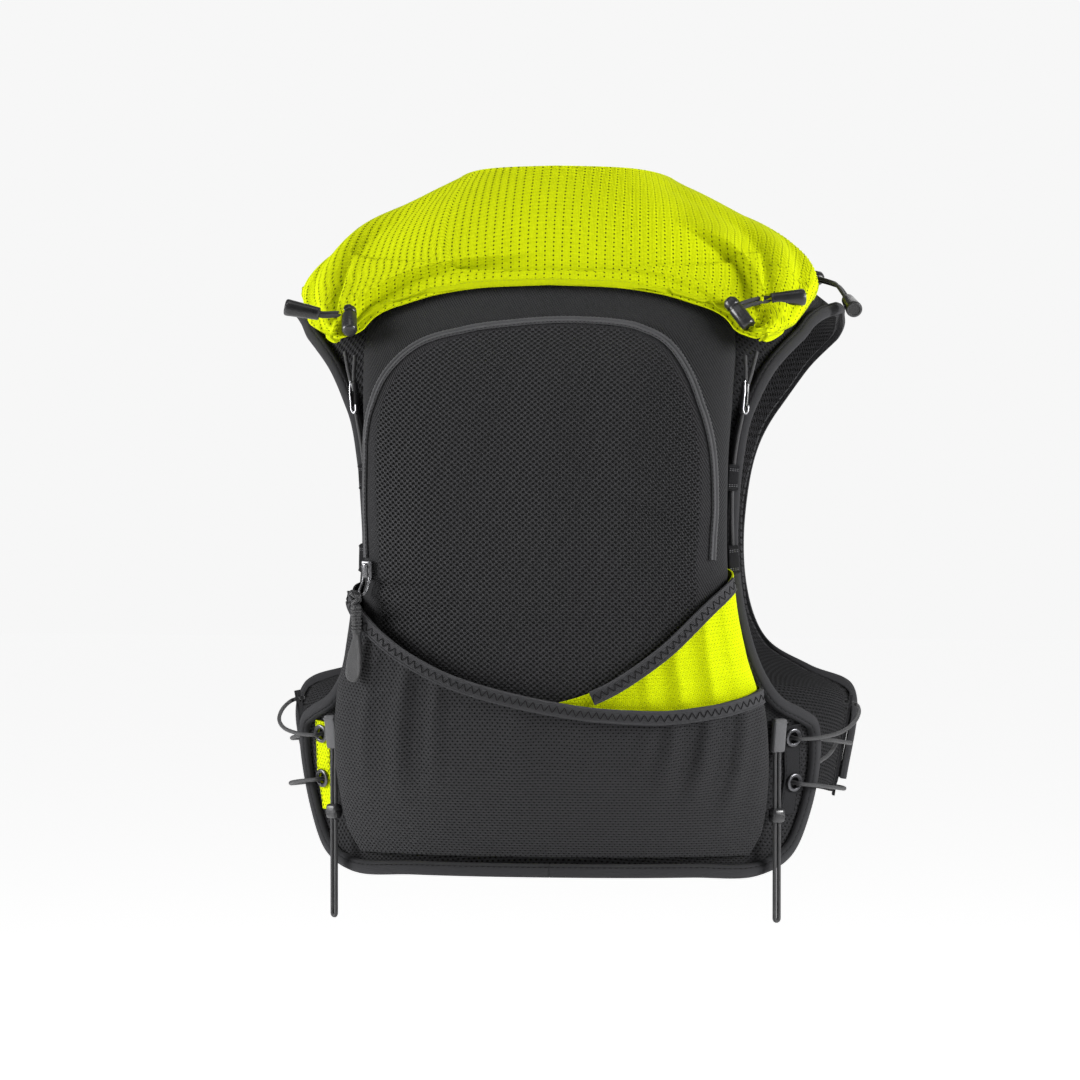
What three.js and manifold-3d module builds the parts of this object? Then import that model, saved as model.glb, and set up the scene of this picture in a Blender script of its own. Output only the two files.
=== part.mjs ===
// A running hydration vest in the shape that it has on a wearer: a padded harness with a zipped pack, crossed stretch
// pockets, a lime yoke over the shoulders, side lacing, elastic cords and two chest straps.
// Millimetres, +Z up. The wearer's back is at -Y and the right hand at +X. The origin is midway between the shoulders,
// at the height where the straps sit. Cloth is laid out on a smooth torso form that is not part of the vest.
import * as THREE from "three";
import { mergeVertices } from "three/addons/utils/BufferGeometryUtils.js";
import Module from "manifold-3d";

const wasm = await Module();
wasm.setup();

// Driving sizes

const backDrop = 385; // shoulder seat down to the back's bottom hem
const collarRise = 28; // shoulder seat up to the collar's top edge
const shoulderHalf = 161; // centre to the outer edge of the harness at the shoulder
const frontDrop = 345; // shoulder seat down to the hem of the front panels
const formHalf = 186; // the torso form's half width at the chest
const formBack = 121; // the form's depth behind the shoulder seat
const formFront = 112; // the form's depth in front of the shoulder seat
const formRoundness = 2.4; // 2 is an ellipse, more is flatter across the back

const gap = 0.5; // free space between pieces that lie on each other
const harnessWall = 3; // padded spacer mesh
const clothWall = 1; // stretch mesh of the pockets and the yoke
const packWall = 1.6; // the pack's outer panel
const packDepth = 42; // how far the filled pack stands off the harness
const packHalf = 104; // the pack's half width at mid height
const packTuck = 4.5; // how far the pack's and the pockets' seams lie inside their widest line
const packTop = 39; // drop of the pack's upper seam, under the yoke
const packBottom = 348; // drop of the pack's lower seam, under the pockets
const pocketHalf = 124; // the stretch pockets' half width at the wings
const pocketBottom = 373; // drop of the pockets' lower seam
const pocketEase = 2.5; // how far the pockets stand off the pack below them
const yokeLoft = 8.5; // how far the loose yoke stands off the shoulders

const bindingWidth = 8;
const bindingHeight = 4;
const bandWidth = 8.4; // elastic tape on the pockets' top edges
const bandHeight = 1.4;
const zipWidth = 4.6;
const zipHeight = 1.2;
const zipHalf = 94.5; // half width of the zipper's arch
const zipTop = 64; // drop of the top of the zipper's arch
const zipFoot = 195; // drop where both legs of the zipper end

const cordRadius = 1.2; // elastic cord of the laces, loops and tails
const boreClearance = 0.5; // round a cord in a lock, keeper, slider or eyelet
const cordSides = 8;

const eyeletX = 136.5; // the lacing eyelets in the wings
const eyeletDrops = [304, 331];
const eyeletHole = 3.2;
const eyeletOuter = 5.6;
const eyeletHeight = 1.6;

const lockLength = 21; // barrel cord lock
const lockRadius = 4.4;
const endLength = 20.5; // flared cord end
const endRadius = 4.9;
const endNeck = 3.6;
const tailSpread = 1.45; // half the distance between a tail's two strands

const chestStrapDrops = { upper: 112, lower: 206 };
const chestStrapWidth = 18;
const chestStrapWall = 1.6;
const chestStrapReach = 68; // centre to the strap's sewn end
const clipLength = 34;
const clipRim = 3;

const beadWidth = 9; // the flat bead on each lower loop
const beadHeight = 9;
const beadDepth = 7;
const loopX = 127.8; // where the lower loops hang
const loopDrop = 412; // drop of the loops' lowest point
const loopTabTop = 292;
const loopTabBottom = 312;
const loopTabDepth = 4.8;

const keeperWidth = 7.2; // webbing keeper of the side cords, on the armhole bindings
const keeperHeight = 15.5;
const keeperDepth = 4.4;
const gateWidth = 4.8; // gate clip on each side cord
const gateHeight = 19;
const gateDepth = 4.4;
const anchorWidth = 7.2; // webbing tab that each side cord ends in
const anchorHeight = 17;

const pullWidth = 7.6;
const pullLength = 46;
const pullWall = 2.4;
const pullWireRadius = 0.7;

// Tables. Drops are shares of backDrop, measured down from the shoulder seat; the other columns are shares of the size
// that the table names.

// The torso form: half, back and front are shares of formHalf, formBack and formFront.
const torso = [
  { drop: -0.13, half: 0.265, back: 0.48, front: 0.3 },
  { drop: -0.086, half: 0.296, back: 0.57, front: 0.36 },
  { drop: -0.036, half: 0.371, back: 0.67, front: 0.45 },
  { drop: 0.01, half: 0.478, back: 0.752, front: 0.54 },
  { drop: 0.068, half: 0.645, back: 0.835, front: 0.643 },
  { drop: 0.114, half: 0.769, back: 0.884, front: 0.732 },
  { drop: 0.145, half: 0.849, back: 0.912, front: 0.775 },
  { drop: 0.182, half: 0.925, back: 0.942, front: 0.839 },
  { drop: 0.286, half: 1.0, back: 0.992, front: 0.946 },
  { drop: 0.416, half: 1.0, back: 1.0, front: 1.0 },
  { drop: 0.571, half: 0.973, back: 0.967, front: 1.0 },
  { drop: 0.753, half: 0.906, back: 0.901, front: 0.955 },
  { drop: 0.883, half: 0.857, back: 0.868, front: 0.929 },
  { drop: 1.1, half: 0.79, back: 0.876, front: 0.929 },
];

// The harness's outer edge on the back, armhole and wing: half is a share of shoulderHalf.
const harnessEdge = [
  { drop: 0.145, half: 0.985 },
  { drop: 0.158, half: 0.951 },
  { drop: 0.178, half: 0.906 },
  { drop: 0.234, half: 0.795 },
  { drop: 0.293, half: 0.727 },
  { drop: 0.371, half: 0.689 },
  { drop: 0.429, half: 0.677 },
  { drop: 0.488, half: 0.671 },
  { drop: 0.532, half: 0.677 },
  { drop: 0.597, half: 0.696 },
  { drop: 0.662, half: 0.733 },
  { drop: 0.706, half: 0.776 },
  { drop: 0.732, half: 0.826 },
  { drop: 0.748, half: 0.9 },
  { drop: 0.764, half: 0.938 },
  { drop: 0.805, half: 0.941 },
  { drop: 0.857, half: 0.928 },
  { drop: 0.909, half: 0.9 },
  { drop: 0.966, half: 0.845 },
  { drop: 1.0, half: 0.733 },
];

// The front panels: outer and inner edges, in degrees round the form from the middle of the back.
const frontEdge = [
  { drop: -0.02, outer: 90.2, inner: 103 },
  { drop: 0.01, outer: 90.2, inner: 124 },
  { drop: 0.052, outer: 90.2, inner: 143 },
  { drop: 0.145, outer: 90.2, inner: 160 },
  { drop: 0.16, outer: 108, inner: 162 },
  { drop: 0.234, outer: 136, inner: 168 },
  { drop: 0.338, outer: 149, inner: 171.5 },
  { drop: 0.468, outer: 153, inner: 173 },
  { drop: 0.6, outer: 151, inner: 173 },
  { drop: 0.67, outer: 145, inner: 173 },
  { drop: 0.712, outer: 130, inner: 173 },
  { drop: 0.74, outer: 107, inner: 172.5 },
  { drop: 0.785, outer: 99.6, inner: 172 },
  { drop: 0.872, outer: 99.6, inner: 171 },
  { drop: 0.896, outer: 104, inner: 168 },
];

// The pack: half is a share of packHalf and depth one of packDepth. Its first and last rows are its seams.
const packRows = [
  { drop: packTop / backDrop, half: 0.97, depth: 0.05 },
  { drop: 0.14, half: 1.0, depth: 0.14 },
  { drop: 0.17, half: 1.015, depth: 0.27 },
  { drop: 0.21, half: 1.02, depth: 0.43 },
  { drop: 0.27, half: 1.005, depth: 0.61 },
  { drop: 0.37, half: 0.975, depth: 0.82 },
  { drop: 0.5, half: 0.963, depth: 0.95 },
  { drop: 0.62, half: 0.98, depth: 0.98 },
  { drop: 0.74, half: 1.01, depth: 0.93 },
  { drop: 0.82, half: 1.03, depth: 0.76 },
  { drop: 0.88, half: 1.03, depth: 0.45 },
  { drop: packBottom / backDrop, half: 0.98, depth: 0.06 },
];

// The stretch pockets' outer shape: half is a share of pocketHalf and depth one of packDepth plus pocketEase.
const pocketRows = [
  { drop: 0.5, half: 0.843, depth: 1.0 },
  { drop: 0.57, half: 0.857, depth: 1.03 },
  { drop: 0.65, half: 0.908, depth: 1.03 },
  { drop: 0.72, half: 0.975, depth: 1.0 },
  { drop: 0.77, half: 0.995, depth: 0.95 },
  { drop: 0.83, half: 1.0, depth: 0.83 },
  { drop: 0.88, half: 0.995, depth: 0.63 },
  { drop: 0.93, half: 0.98, depth: 0.36 },
  { drop: pocketBottom / backDrop, half: 0.93, depth: 0.11 },
];

// The pockets' top edges: x is a share of pocketHalf at that height. The outer one falls from the wearer's left side
// and the one under it from the right.
const outerTop = [
  { x: -1, drop: 0.548 },
  { x: -0.84, drop: 0.592 },
  { x: -0.62, drop: 0.643 },
  { x: -0.4, drop: 0.679 },
  { x: -0.16, drop: 0.704 },
  { x: 0.06, drop: 0.72 },
  { x: 0.3, drop: 0.731 },
  { x: 0.52, drop: 0.734 },
  { x: 0.76, drop: 0.725 },
  { x: 1, drop: 0.703 },
];
const underTop = [
  { x: -1, drop: 0.87 },
  { x: -0.7, drop: 0.83 },
  { x: -0.3, drop: 0.77 },
  { x: 0.05, drop: 0.725 },
  { x: 0.18, drop: 0.712 },
  { x: 0.3, drop: 0.695 },
  { x: 0.45, drop: 0.665 },
  { x: 0.61, drop: 0.627 },
  { x: 0.78, drop: 0.58 },
  { x: 0.92, drop: 0.545 },
  { x: 1, drop: 0.527 },
];

// The zipper's arch from the left foot to the right one: x is a share of zipHalf, down one of the arch's height.
const zipArch = [
  { x: -1.0, down: 1.0 },
  { x: -1.02, down: 0.75 },
  { x: -1.03, down: 0.52 },
  { x: -1.0, down: 0.36 },
  { x: -0.92, down: 0.235 },
  { x: -0.75, down: 0.115 },
  { x: -0.5, down: 0.045 },
  { x: -0.2, down: 0.012 },
  { x: 0.15, down: 0.0 },
  { x: 0.4, down: 0.012 },
  { x: 0.57, down: 0.04 },
  { x: 0.7, down: 0.1 },
  { x: 0.81, down: 0.21 },
  { x: 0.9, down: 0.365 },
  { x: 0.95, down: 0.54 },
  { x: 0.96, down: 0.76 },
  { x: 0.94, down: 1.0 },
];

// The yoke's two long edges by the share of its half length. hemX is a share of shoulderHalf, hemDrop and topDrop of
// backDrop, and topTurn is in degrees round the form. The corners at along 0.76 are pulled down by the cords.
const yokeEdge = [
  { along: 0.0, hemX: 0.0, hemDrop: 0.112, topTurn: 0, topDrop: -0.073 },
  { along: 0.2, hemX: 0.21, hemDrop: 0.116, topTurn: 36, topDrop: -0.07 },
  { along: 0.38, hemX: 0.39, hemDrop: 0.129, topTurn: 72, topDrop: -0.058 },
  { along: 0.5, hemX: 0.5, hemDrop: 0.146, topTurn: 92, topDrop: -0.03 },
  { along: 0.62, hemX: 0.6, hemDrop: 0.17, topTurn: 98, topDrop: -0.004 },
  { along: 0.7, hemX: 0.65, hemDrop: 0.196, topTurn: 103, topDrop: 0.016 },
  { along: 0.76, hemX: 0.69, hemDrop: 0.207, topTurn: 105, topDrop: 0.034 },
  { along: 0.83, hemX: 0.77, hemDrop: 0.187, topTurn: 104, topDrop: 0.057 },
  { along: 0.91, hemX: 0.85, hemDrop: 0.15, topTurn: 100, topDrop: 0.086 },
  { along: 1.0, hemX: 0.9, hemDrop: 0.122, topTurn: 97, topDrop: 0.11 },
];

// The yoke's folds run up from its hem: hem and top are places along the yoke, rise is in shares of yokeLoft.
const yokeFolds = [
  { hem: -0.74, top: -0.36, width: 0.055, rise: 1.1 },
  { hem: -0.79, top: -0.66, width: 0.05, rise: 0.9 },
  { hem: -0.9, top: -0.8, width: 0.04, rise: 0.5 },
  { hem: 0.74, top: 0.4, width: 0.055, rise: 1.1 },
  { hem: 0.79, top: 0.62, width: 0.05, rise: 0.9 },
  { hem: 0.92, top: 0.84, width: 0.04, rise: 0.5 },
];

// Helpers for tables and shapes

const radians = THREE.MathUtils.degToRad;
const mix = THREE.MathUtils.lerp;
const smooth = (value, low, high) => THREE.MathUtils.smoothstep(value, low, high);
const shares = (count) => Array.from({ length: count + 1 }, (_, i) => i / count);
const across = (count) => shares(count).map((t) => 2 * t - 1);

// A smooth curve through one column of a table, with no overshoot between its rows.
function column(rows, at, key) {
  const x = rows.map((row) => row[at]);
  const y = rows.map((row) => row[key]);
  const steep = x.slice(1).map((end, i) => (y[i + 1] - y[i]) / (end - x[i]));
  const slope = x.map((_, i) => {
    if (i === 0) return steep[0];
    if (i === x.length - 1) return steep[i - 1];
    if (steep[i - 1] * steep[i] <= 0) return 0;
    return (2 * steep[i - 1] * steep[i]) / (steep[i - 1] + steep[i]);
  });
  return (value) => {
    if (value <= x[0]) return y[0];
    if (value >= x[x.length - 1]) return y[y.length - 1];
    const i = x.findIndex((end) => end > value) - 1;
    const step = x[i + 1] - x[i];
    const t = (value - x[i]) / step;
    const ends = y[i] * (1 + 2 * t) * (1 - t) ** 2 + y[i + 1] * t * t * (3 - 2 * t);
    return ends + step * (slope[i] * t * (1 - t) ** 2 - slope[i + 1] * t * t * (1 - t));
  };
}

// Turns a closed geometry's faces outwards.
function outward(points, faces) {
  let volume = 0;
  for (const [a, b, c] of faces) volume += points[a].dot(points[b].clone().cross(points[c]));
  const ordered = volume < 0 ? faces.map(([a, b, c]) => [a, c, b]) : faces;
  const geometry = new THREE.BufferGeometry();
  geometry.setAttribute("position", new THREE.Float32BufferAttribute(points.flatMap((p) => p.toArray()), 3));
  geometry.setIndex(ordered.flat());
  geometry.computeVertexNormals();
  return geometry;
}

// A closed wall between two grids of points that have the same rows and columns.
function wallBetween(outer, inner) {
  const rows = outer.length;
  const cols = outer[0].length;
  const points = [...outer.flat(), ...inner.flat()];
  const top = (r, c) => r * cols + c;
  const low = (r, c) => rows * cols + top(r, c);
  const faces = [];
  const quad = (a, b, c, d) => faces.push([a, b, c], [a, c, d]);
  for (let r = 0; r < rows - 1; r++) {
    for (let c = 0; c < cols - 1; c++) {
      quad(top(r, c), top(r, c + 1), top(r + 1, c + 1), top(r + 1, c));
      quad(low(r, c), low(r + 1, c), low(r + 1, c + 1), low(r, c + 1));
    }
  }
  for (let c = 0; c < cols - 1; c++) {
    quad(top(0, c), low(0, c), low(0, c + 1), top(0, c + 1));
    quad(top(rows - 1, c), top(rows - 1, c + 1), low(rows - 1, c + 1), low(rows - 1, c));
  }
  for (let r = 0; r < rows - 1; r++) {
    quad(top(r, 0), top(r + 1, 0), low(r + 1, 0), low(r, 0));
    quad(top(r, cols - 1), low(r, cols - 1), low(r + 1, cols - 1), top(r + 1, cols - 1));
  }
  return outward(points, faces);
}

// Sweeps a flat outline of [side, out] points along stations of {at, out}, where out is the way off the surface.
function sweep(stations, outline) {
  const points = [];
  const faces = [];
  const count = outline.length;
  stations.forEach(({ at, out }, i) => {
    const before = stations[Math.max(i - 1, 0)].at;
    const after = stations[Math.min(i + 1, stations.length - 1)].at;
    const side = after.clone().sub(before).cross(out).normalize();
    for (const [s, o] of outline) points.push(at.clone().addScaledVector(side, s).addScaledVector(out, o));
  });
  for (let i = 0; i < stations.length - 1; i++) {
    for (let k = 0; k < count; k++) {
      const next = (k + 1) % count;
      const [a, b] = [i * count + k, i * count + next];
      faces.push([a, b, b + count], [a, b + count, a + count]);
    }
  }
  const last = (stations.length - 1) * count;
  for (let k = 1; k < count - 1; k++) {
    faces.push([0, k + 1, k], [last, last + k, last + k + 1]);
  }
  return outward(points, faces);
}

// A flat tape's section, and a bead's with a rounded back, both standing on a surface.
const tapeSection = (width, low, high) => [
  [-width / 2, low],
  [width / 2, low],
  [width / 2, high],
  [-width / 2, high],
];
const beadSection = (width, low, high) => [
  [-width * 0.5, low],
  [width * 0.5, low],
  [width * 0.5, mix(low, high, 0.55)],
  [width * 0.28, high],
  [-width * 0.28, high],
  [-width * 0.5, mix(low, high, 0.55)],
];

// A round cord along a smooth curve through the points.
function cord(points, radius, steps) {
  const ring = new THREE.Shape();
  for (let i = 0; i < cordSides; i++) {
    const turn = (i / cordSides) * 2 * Math.PI;
    const [x, y] = [radius * Math.cos(turn), radius * Math.sin(turn)];
    if (i === 0) ring.moveTo(x, y);
    else ring.lineTo(x, y);
  }
  ring.closePath();
  const extrudePath = new THREE.CatmullRomCurve3(points, false, "centripetal");
  return new THREE.ExtrudeGeometry(ring, { steps, extrudePath, bevelEnabled: false });
}

// Joins, cuts and places

function solid(geometry) {
  const bare = geometry.clone();
  bare.deleteAttribute("normal");
  bare.deleteAttribute("uv");
  const merged = mergeVertices(bare, 1e-3);
  const vertProperties = merged.attributes.position.array;
  return new wasm.Manifold(new wasm.Mesh({ numProp: 3, vertProperties, triVerts: merged.index.array }));
}

function geometryOf(made) {
  const mesh = made.getMesh();
  const geometry = new THREE.BufferGeometry();
  geometry.setAttribute("position", new THREE.BufferAttribute(new Float32Array(mesh.vertProperties), 3));
  geometry.setIndex(new THREE.BufferAttribute(new Uint32Array(mesh.triVerts), 1));
  geometry.computeVertexNormals();
  return geometry;
}

function cut(geometry, ...tools) {
  return geometryOf(tools.reduce((made, tool) => made.subtract(solid(tool)), solid(geometry)));
}

// A rod from one point to another.
function rod(from, to, radius, sides = 12) {
  const along = to.clone().sub(from);
  const geometry = new THREE.CylinderGeometry(radius, radius, along.length(), sides);
  geometry.applyQuaternion(new THREE.Quaternion().setFromUnitVectors(UP, along.clone().normalize()));
  return geometry.translate(...from.clone().add(to).multiplyScalar(0.5).toArray());
}
const UP = new THREE.Vector3(0, 1, 0);

// Turns a geometry's X, Y and Z into three directions and moves it to a place.
function setAt(geometry, at, x, y, z) {
  return geometry.applyMatrix4(new THREE.Matrix4().makeBasis(x, y, z)).translate(at.x, at.y, at.z);
}

// The torso form

const formCurves = ["half", "back", "front"].map((key) => column(torso, "drop", key));
const formSizes = (z) => {
  const [half, back, front] = formCurves.map((curve) => curve(-z / backDrop));
  return { half: half * formHalf, back: back * formBack, front: front * formFront };
};

// How far out of the form a point is: 1 on its surface.
function level(x, y, z) {
  const { half, back, front } = formSizes(z);
  const deep = y < 0 ? back : front;
  return Math.abs(x / half) ** formRoundness + Math.abs(y / deep) ** formRoundness;
}

function normalAt(x, y, z) {
  const step = 0.5;
  const slope = (dx, dy, dz) => level(x + dx, y + dy, z + dz) - level(x - dx, y - dy, z - dz);
  return new THREE.Vector3(slope(step, 0, 0), slope(0, step, 0), slope(0, 0, step)).normalize();
}

// A point at a turn round the form from the middle of the back, in radians, standing off the form along its normal.
function onForm(turn, z, off) {
  const { half, back, front } = formSizes(z);
  const [s, c] = [Math.sin(turn), Math.cos(turn)];
  const x = half * Math.sign(s) * Math.abs(s) ** (2 / formRoundness);
  const y = -(c > 0 ? back : front) * Math.sign(c) * Math.abs(c) ** (2 / formRoundness);
  return new THREE.Vector3(x, y, z).addScaledVector(normalAt(x, y, z), off);
}

const turnAt = (x, z) => Math.sign(x) * Math.asin(Math.min(1, Math.abs(x) / formSizes(z).half) ** (formRoundness / 2));
const onBack = (x, z, off) => onForm(turnAt(x, z), z, off);

// Direction off a surface given as a function of x and z.
function surfaceOut(surface, x, z) {
  const step = 0.4;
  const alongX = surface(x + step, z).sub(surface(x - step, z));
  const alongZ = surface(x, z + step).sub(surface(x, z - step));
  return alongX.cross(alongZ).normalize();
}

// A closed wall over the form: spot gives the turn and z at a place in the grid, faces the heights of its two sides.
function clothOverForm(columns, rows, spot, faces) {
  const grid = (face) =>
    rows.map((v) =>
      columns.map((u) => {
        const { turn, z } = spot(u, v);
        return onForm(turn, z, faces(turn, z, u, v)[face]);
      }),
    );
  return wallBetween(grid("top"), grid("low"));
}

// Materials

const finish = (color, roughness, metalness = 0) =>
  new THREE.MeshStandardMaterial({ color, roughness, metalness });
const blackMesh = finish(0x2a2a2c, 0.85);
const blackCloth = finish(0x333335, 0.8);
const limeMesh = finish(0xcfe000, 0.75);
const greyElastic = finish(0x4a4a4c, 0.8);
const blackCord = finish(0x303032, 0.7);
const blackPlastic = finish(0x1c1c1e, 0.35);
const steel = finish(0x9a9a9e, 0.35, 0.9);

const vest = new THREE.Group();

function add(name, geometry, material) {
  const mesh = new THREE.Mesh(geometry, material);
  mesh.name = name;
  vest.add(mesh);
  return mesh;
}

const sides = [
  { side: -1, label: "left" },
  { side: 1, label: "right" },
];

// Harness: the padded back with its wings, the two front panels and their bindings

const harnessHalfAt = column(harnessEdge, "drop", "half");
const edgeTurn = (z) => turnAt(harnessHalfAt(-z / backDrop) * shoulderHalf, z);
const crestDrop = harnessEdge[0].drop; // the edge crosses the shoulder here
const seamTurn = radians(89.8); // shoulder seam between back and front panels
const collarSag = 18; // how much lower the collar is at the sides of the neck

function backTurn(z) {
  return -z / backDrop < crestDrop ? seamTurn : Math.min(seamTurn, edgeTurn(z));
}

const backLevels = [
  ...harnessEdge.map((row) => -row.drop * backDrop).reverse(),
  ...[0.105, 0.055, 0.005].map((drop) => -drop * backDrop),
  ...[0.5, 1].map((share) => share * collarRise),
];

const eyeletSpots = sides.flatMap(({ side, label }) =>
  eyeletDrops.map((drop, i) => ({ side, label, x: side * eyeletX, z: -drop, name: i ? "lower" : "upper" })),
);
const eyeletTools = eyeletSpots.map(({ x, z }) => {
  const tool = eyeletHole + gap;
  return rod(onBack(x, z, -harnessWall), onBack(x, z, harnessWall * 3), tool, 10);
});

const backSheet = clothOverForm(
  across(12),
  backLevels,
  (u, z) => ({ turn: u * backTurn(z), z: z - collarSag * u * u * smooth(z, 0, collarRise) }),
  () => ({ low: 0, top: harnessWall }),
);
add("back_panel", cut(backSheet, ...eyeletTools), blackMesh);

const frontCurve = {
  outer: column(frontEdge, "drop", "outer"),
  inner: column(frontEdge, "drop", "inner"),
};
const frontLevels = [
  ...frontEdge.map((row) => -row.drop * backDrop),
  ...[0.1, 0.285, 0.4, 0.53, 0.65].map((drop) => -drop * backDrop),
  -frontDrop,
]
  .filter((z) => z >= -frontDrop)
  .sort((a, b) => a - b);
const frontTurn = (edge, z) => radians(frontCurve[edge](-z / backDrop));

for (const { side, label } of sides) {
  const panel = clothOverForm(
    shares(5),
    frontLevels,
    (u, z) => ({ turn: side * mix(frontTurn("outer", z), frontTurn("inner", z), u), z }),
    () => ({ low: 0, top: harnessWall }),
  );
  add(`front_panel_${label}`, panel, blackMesh);
}

// The bindings are beads on the harness's edges. One runs from the middle of the bottom hem round the wing, up the
// armhole, over the shoulder and down the front panel's outer edge.
const bindingLow = harnessWall + 2 * gap;
const bindingBead = beadSection(bindingWidth, bindingLow, bindingLow + bindingHeight);

function edgeStations(spots) {
  const smoothRoute = new THREE.CatmullRomCurve3(
    spots.map(({ turn, z }) => new THREE.Vector3(turn * formHalf, 0, z)),
    false,
    "centripetal",
  );
  return smoothRoute.getPoints(Math.round((spots.length - 1) * stationsPerSpot)).map((p) => {
    const turn = p.x / formHalf;
    const at = onForm(turn, p.z, 0);
    return { at, out: onForm(turn, p.z, 1).sub(at).normalize() };
  });
}
const stationsPerSpot = 1.9;
const inset = bindingWidth * 0.45; // the bead's middle lies this far inside the edge

const backEdgeSpots = harnessEdge
  .slice(1)
  .reverse()
  .map(({ drop, half }) => {
    const z = -drop * backDrop;
    const low = smooth(drop, 0.93, 1);
    const wingTop = smooth(drop, 0.72, 0.745) * (1 - smooth(drop, 0.765, 0.8));
    const x = half * shoulderHalf - inset * (1 - 0.5 * low);
    return { turn: turnAt(x, z), z: z + inset * low - inset * 0.9 * wingTop };
  });
const hemSpots = [0.02, 0.25, 0.5].map((share) => {
  const z = -backDrop + inset;
  return { turn: turnAt(share * shoulderHalf, z), z };
});
const crestSpots = [
  { turn: radians(83), z: -(crestDrop + 0.002) * backDrop },
  { turn: radians(97), z: -(crestDrop + 0.002) * backDrop },
];
const insetTurn = inset / formHalf;
const frontOuterSpots = frontEdge
  .filter((row) => row.drop > crestDrop && row.drop * backDrop < frontDrop - 6)
  .map((row) => ({ turn: radians(row.outer) + insetTurn, z: -row.drop * backDrop }));
const frontInnerSpots = frontEdge
  .filter((row) => row.drop * backDrop < frontDrop - 6)
  .map((row) => ({ turn: radians(row.inner) - insetTurn, z: -row.drop * backDrop }));

const mirrored = (spots, side) => spots.map(({ turn, z }) => ({ turn: side * turn, z }));

for (const { side, label } of sides) {
  const outer = [...hemSpots, ...backEdgeSpots, ...crestSpots, ...frontOuterSpots];
  add(`armhole_binding_${label}`, sweep(edgeStations(mirrored(outer, side)), bindingBead), blackCloth);
  add(`front_binding_${label}`, sweep(edgeStations(mirrored(frontInnerSpots, side)), bindingBead), blackCloth);
}

// Pack: a hollow shell of the outer panel and gusset, open towards the back panel

const packFrom = harnessWall + gap;
const packCurve = { half: column(packRows, "drop", "half"), depth: column(packRows, "drop", "depth") };
const packSquare = 4.2; // how boxy the pack is from side to side
const inPack = (z) => -z >= packTop && -z <= packBottom;
const dome = (share) => Math.max(0, 1 - Math.abs(share) ** packSquare) ** (1 / packSquare);

// A place across a filled shape, from its share of the half width: its seam is tucked in under the widest line.
const tucked = (share, half) => share * half - Math.sign(share) * packTuck * (1 - dome(share)) ** 3;

// Height of the pack's outer face over the harness.
function packHeight(x, z) {
  if (!inPack(z)) return 0;
  const half = packCurve.half(-z / backDrop) * packHalf;
  return packCurve.depth(-z / backDrop) * packDepth * dome(x / half);
}
const onPack = (x, z) => onBack(x, z, packFrom + packHeight(x, z));

const packColumns = across(14).map((u) => Math.sin((u * Math.PI) / 2));
const packLevels = [0.101, 0.12, 0.14, 0.165, 0.19, 0.22, 0.26, 0.31, 0.37, 0.44, 0.52, 0.6, 0.68, 0.75, 0.81, 0.86, 0.895]
  .map((drop) => -drop * backDrop)
  .filter((z) => z < -packTop && z > -packBottom);
const packFace = (inside) =>
  [-packTop, ...packLevels, -packBottom].map((z) =>
    packColumns.map((u) => {
      const half = packCurve.half(-z / backDrop) * packHalf - inside;
      const depth = Math.max(gap, packCurve.depth(-z / backDrop) * packDepth - inside);
      return onBack(tucked(u, half), z, packFrom + depth * dome(u));
    }),
  );
add("pack_shell", wallBetween(packFace(0), packFace(packWall)), blackMesh);

// Zipper: the welt over the zipper's coil, its slider and the pull with its soft tab

const archHeight = zipFoot - zipTop;
const zipRoute = new THREE.CatmullRomCurve3(
  zipArch.map(({ x, down }) => new THREE.Vector3(x * zipHalf, 0, -zipTop - down * archHeight)),
  false,
  "centripetal",
);
const lowestZipFlank = 0.955; // the welt keeps inside this share of the pack's half width
function stationOnPack({ x, z }) {
  const limit = packCurve.half(-z / backDrop) * packHalf * lowestZipFlank;
  const inside = THREE.MathUtils.clamp(x, -limit, limit);
  return { at: onPack(inside, z), out: surfaceOut(onPack, inside, z) };
}
const zipSteps = 34;
const zipStations = zipRoute.getSpacedPoints(zipSteps).map(stationOnPack);
add("zip_welt", sweep(zipStations, tapeSection(zipWidth, gap, gap + zipHeight)), blackCloth);

// Stretch pockets: one layer under the other, each with an elastic band along its top edge

const pocketCurve = { half: column(pocketRows, "drop", "half"), depth: column(pocketRows, "drop", "depth") };
const pocketHalfAt = (z) => pocketCurve.half(-z / backDrop) * pocketHalf;
const underInside = clothWall + 2.4 * gap; // how far the lower layer lies inside the outer one

// A point at a share of the pockets' half width, the given distance inside their outer face and off it.
function onPocket(u, z, inside, off = 0) {
  const depth = pocketCurve.depth(-z / backDrop) * (packDepth + pocketEase) - inside;
  return onBack(tucked(u, pocketHalfAt(z) - inside), z, packFrom + Math.max(depth, gap) * dome(u) + off);
}

// A pocket layer's wall between two distances inside the pockets' outer face.
function pocketLayer(topEdge, inside) {
  const topAt = column(topEdge, "x", "drop");
  const columns = across(16).map((u) => Math.sin((u * Math.PI) / 2));
  const grid = (deep) =>
    shares(7).map((v) => columns.map((u) => onPocket(u, mix(-pocketBottom, -topAt(u) * backDrop, v ** 1.6), deep)));
  return wallBetween(grid(inside), grid(inside + clothWall));
}
add("pocket_under", pocketLayer(underTop, underInside), limeMesh);
add("pocket_outer", pocketLayer(outerTop, 0), blackMesh);

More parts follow.
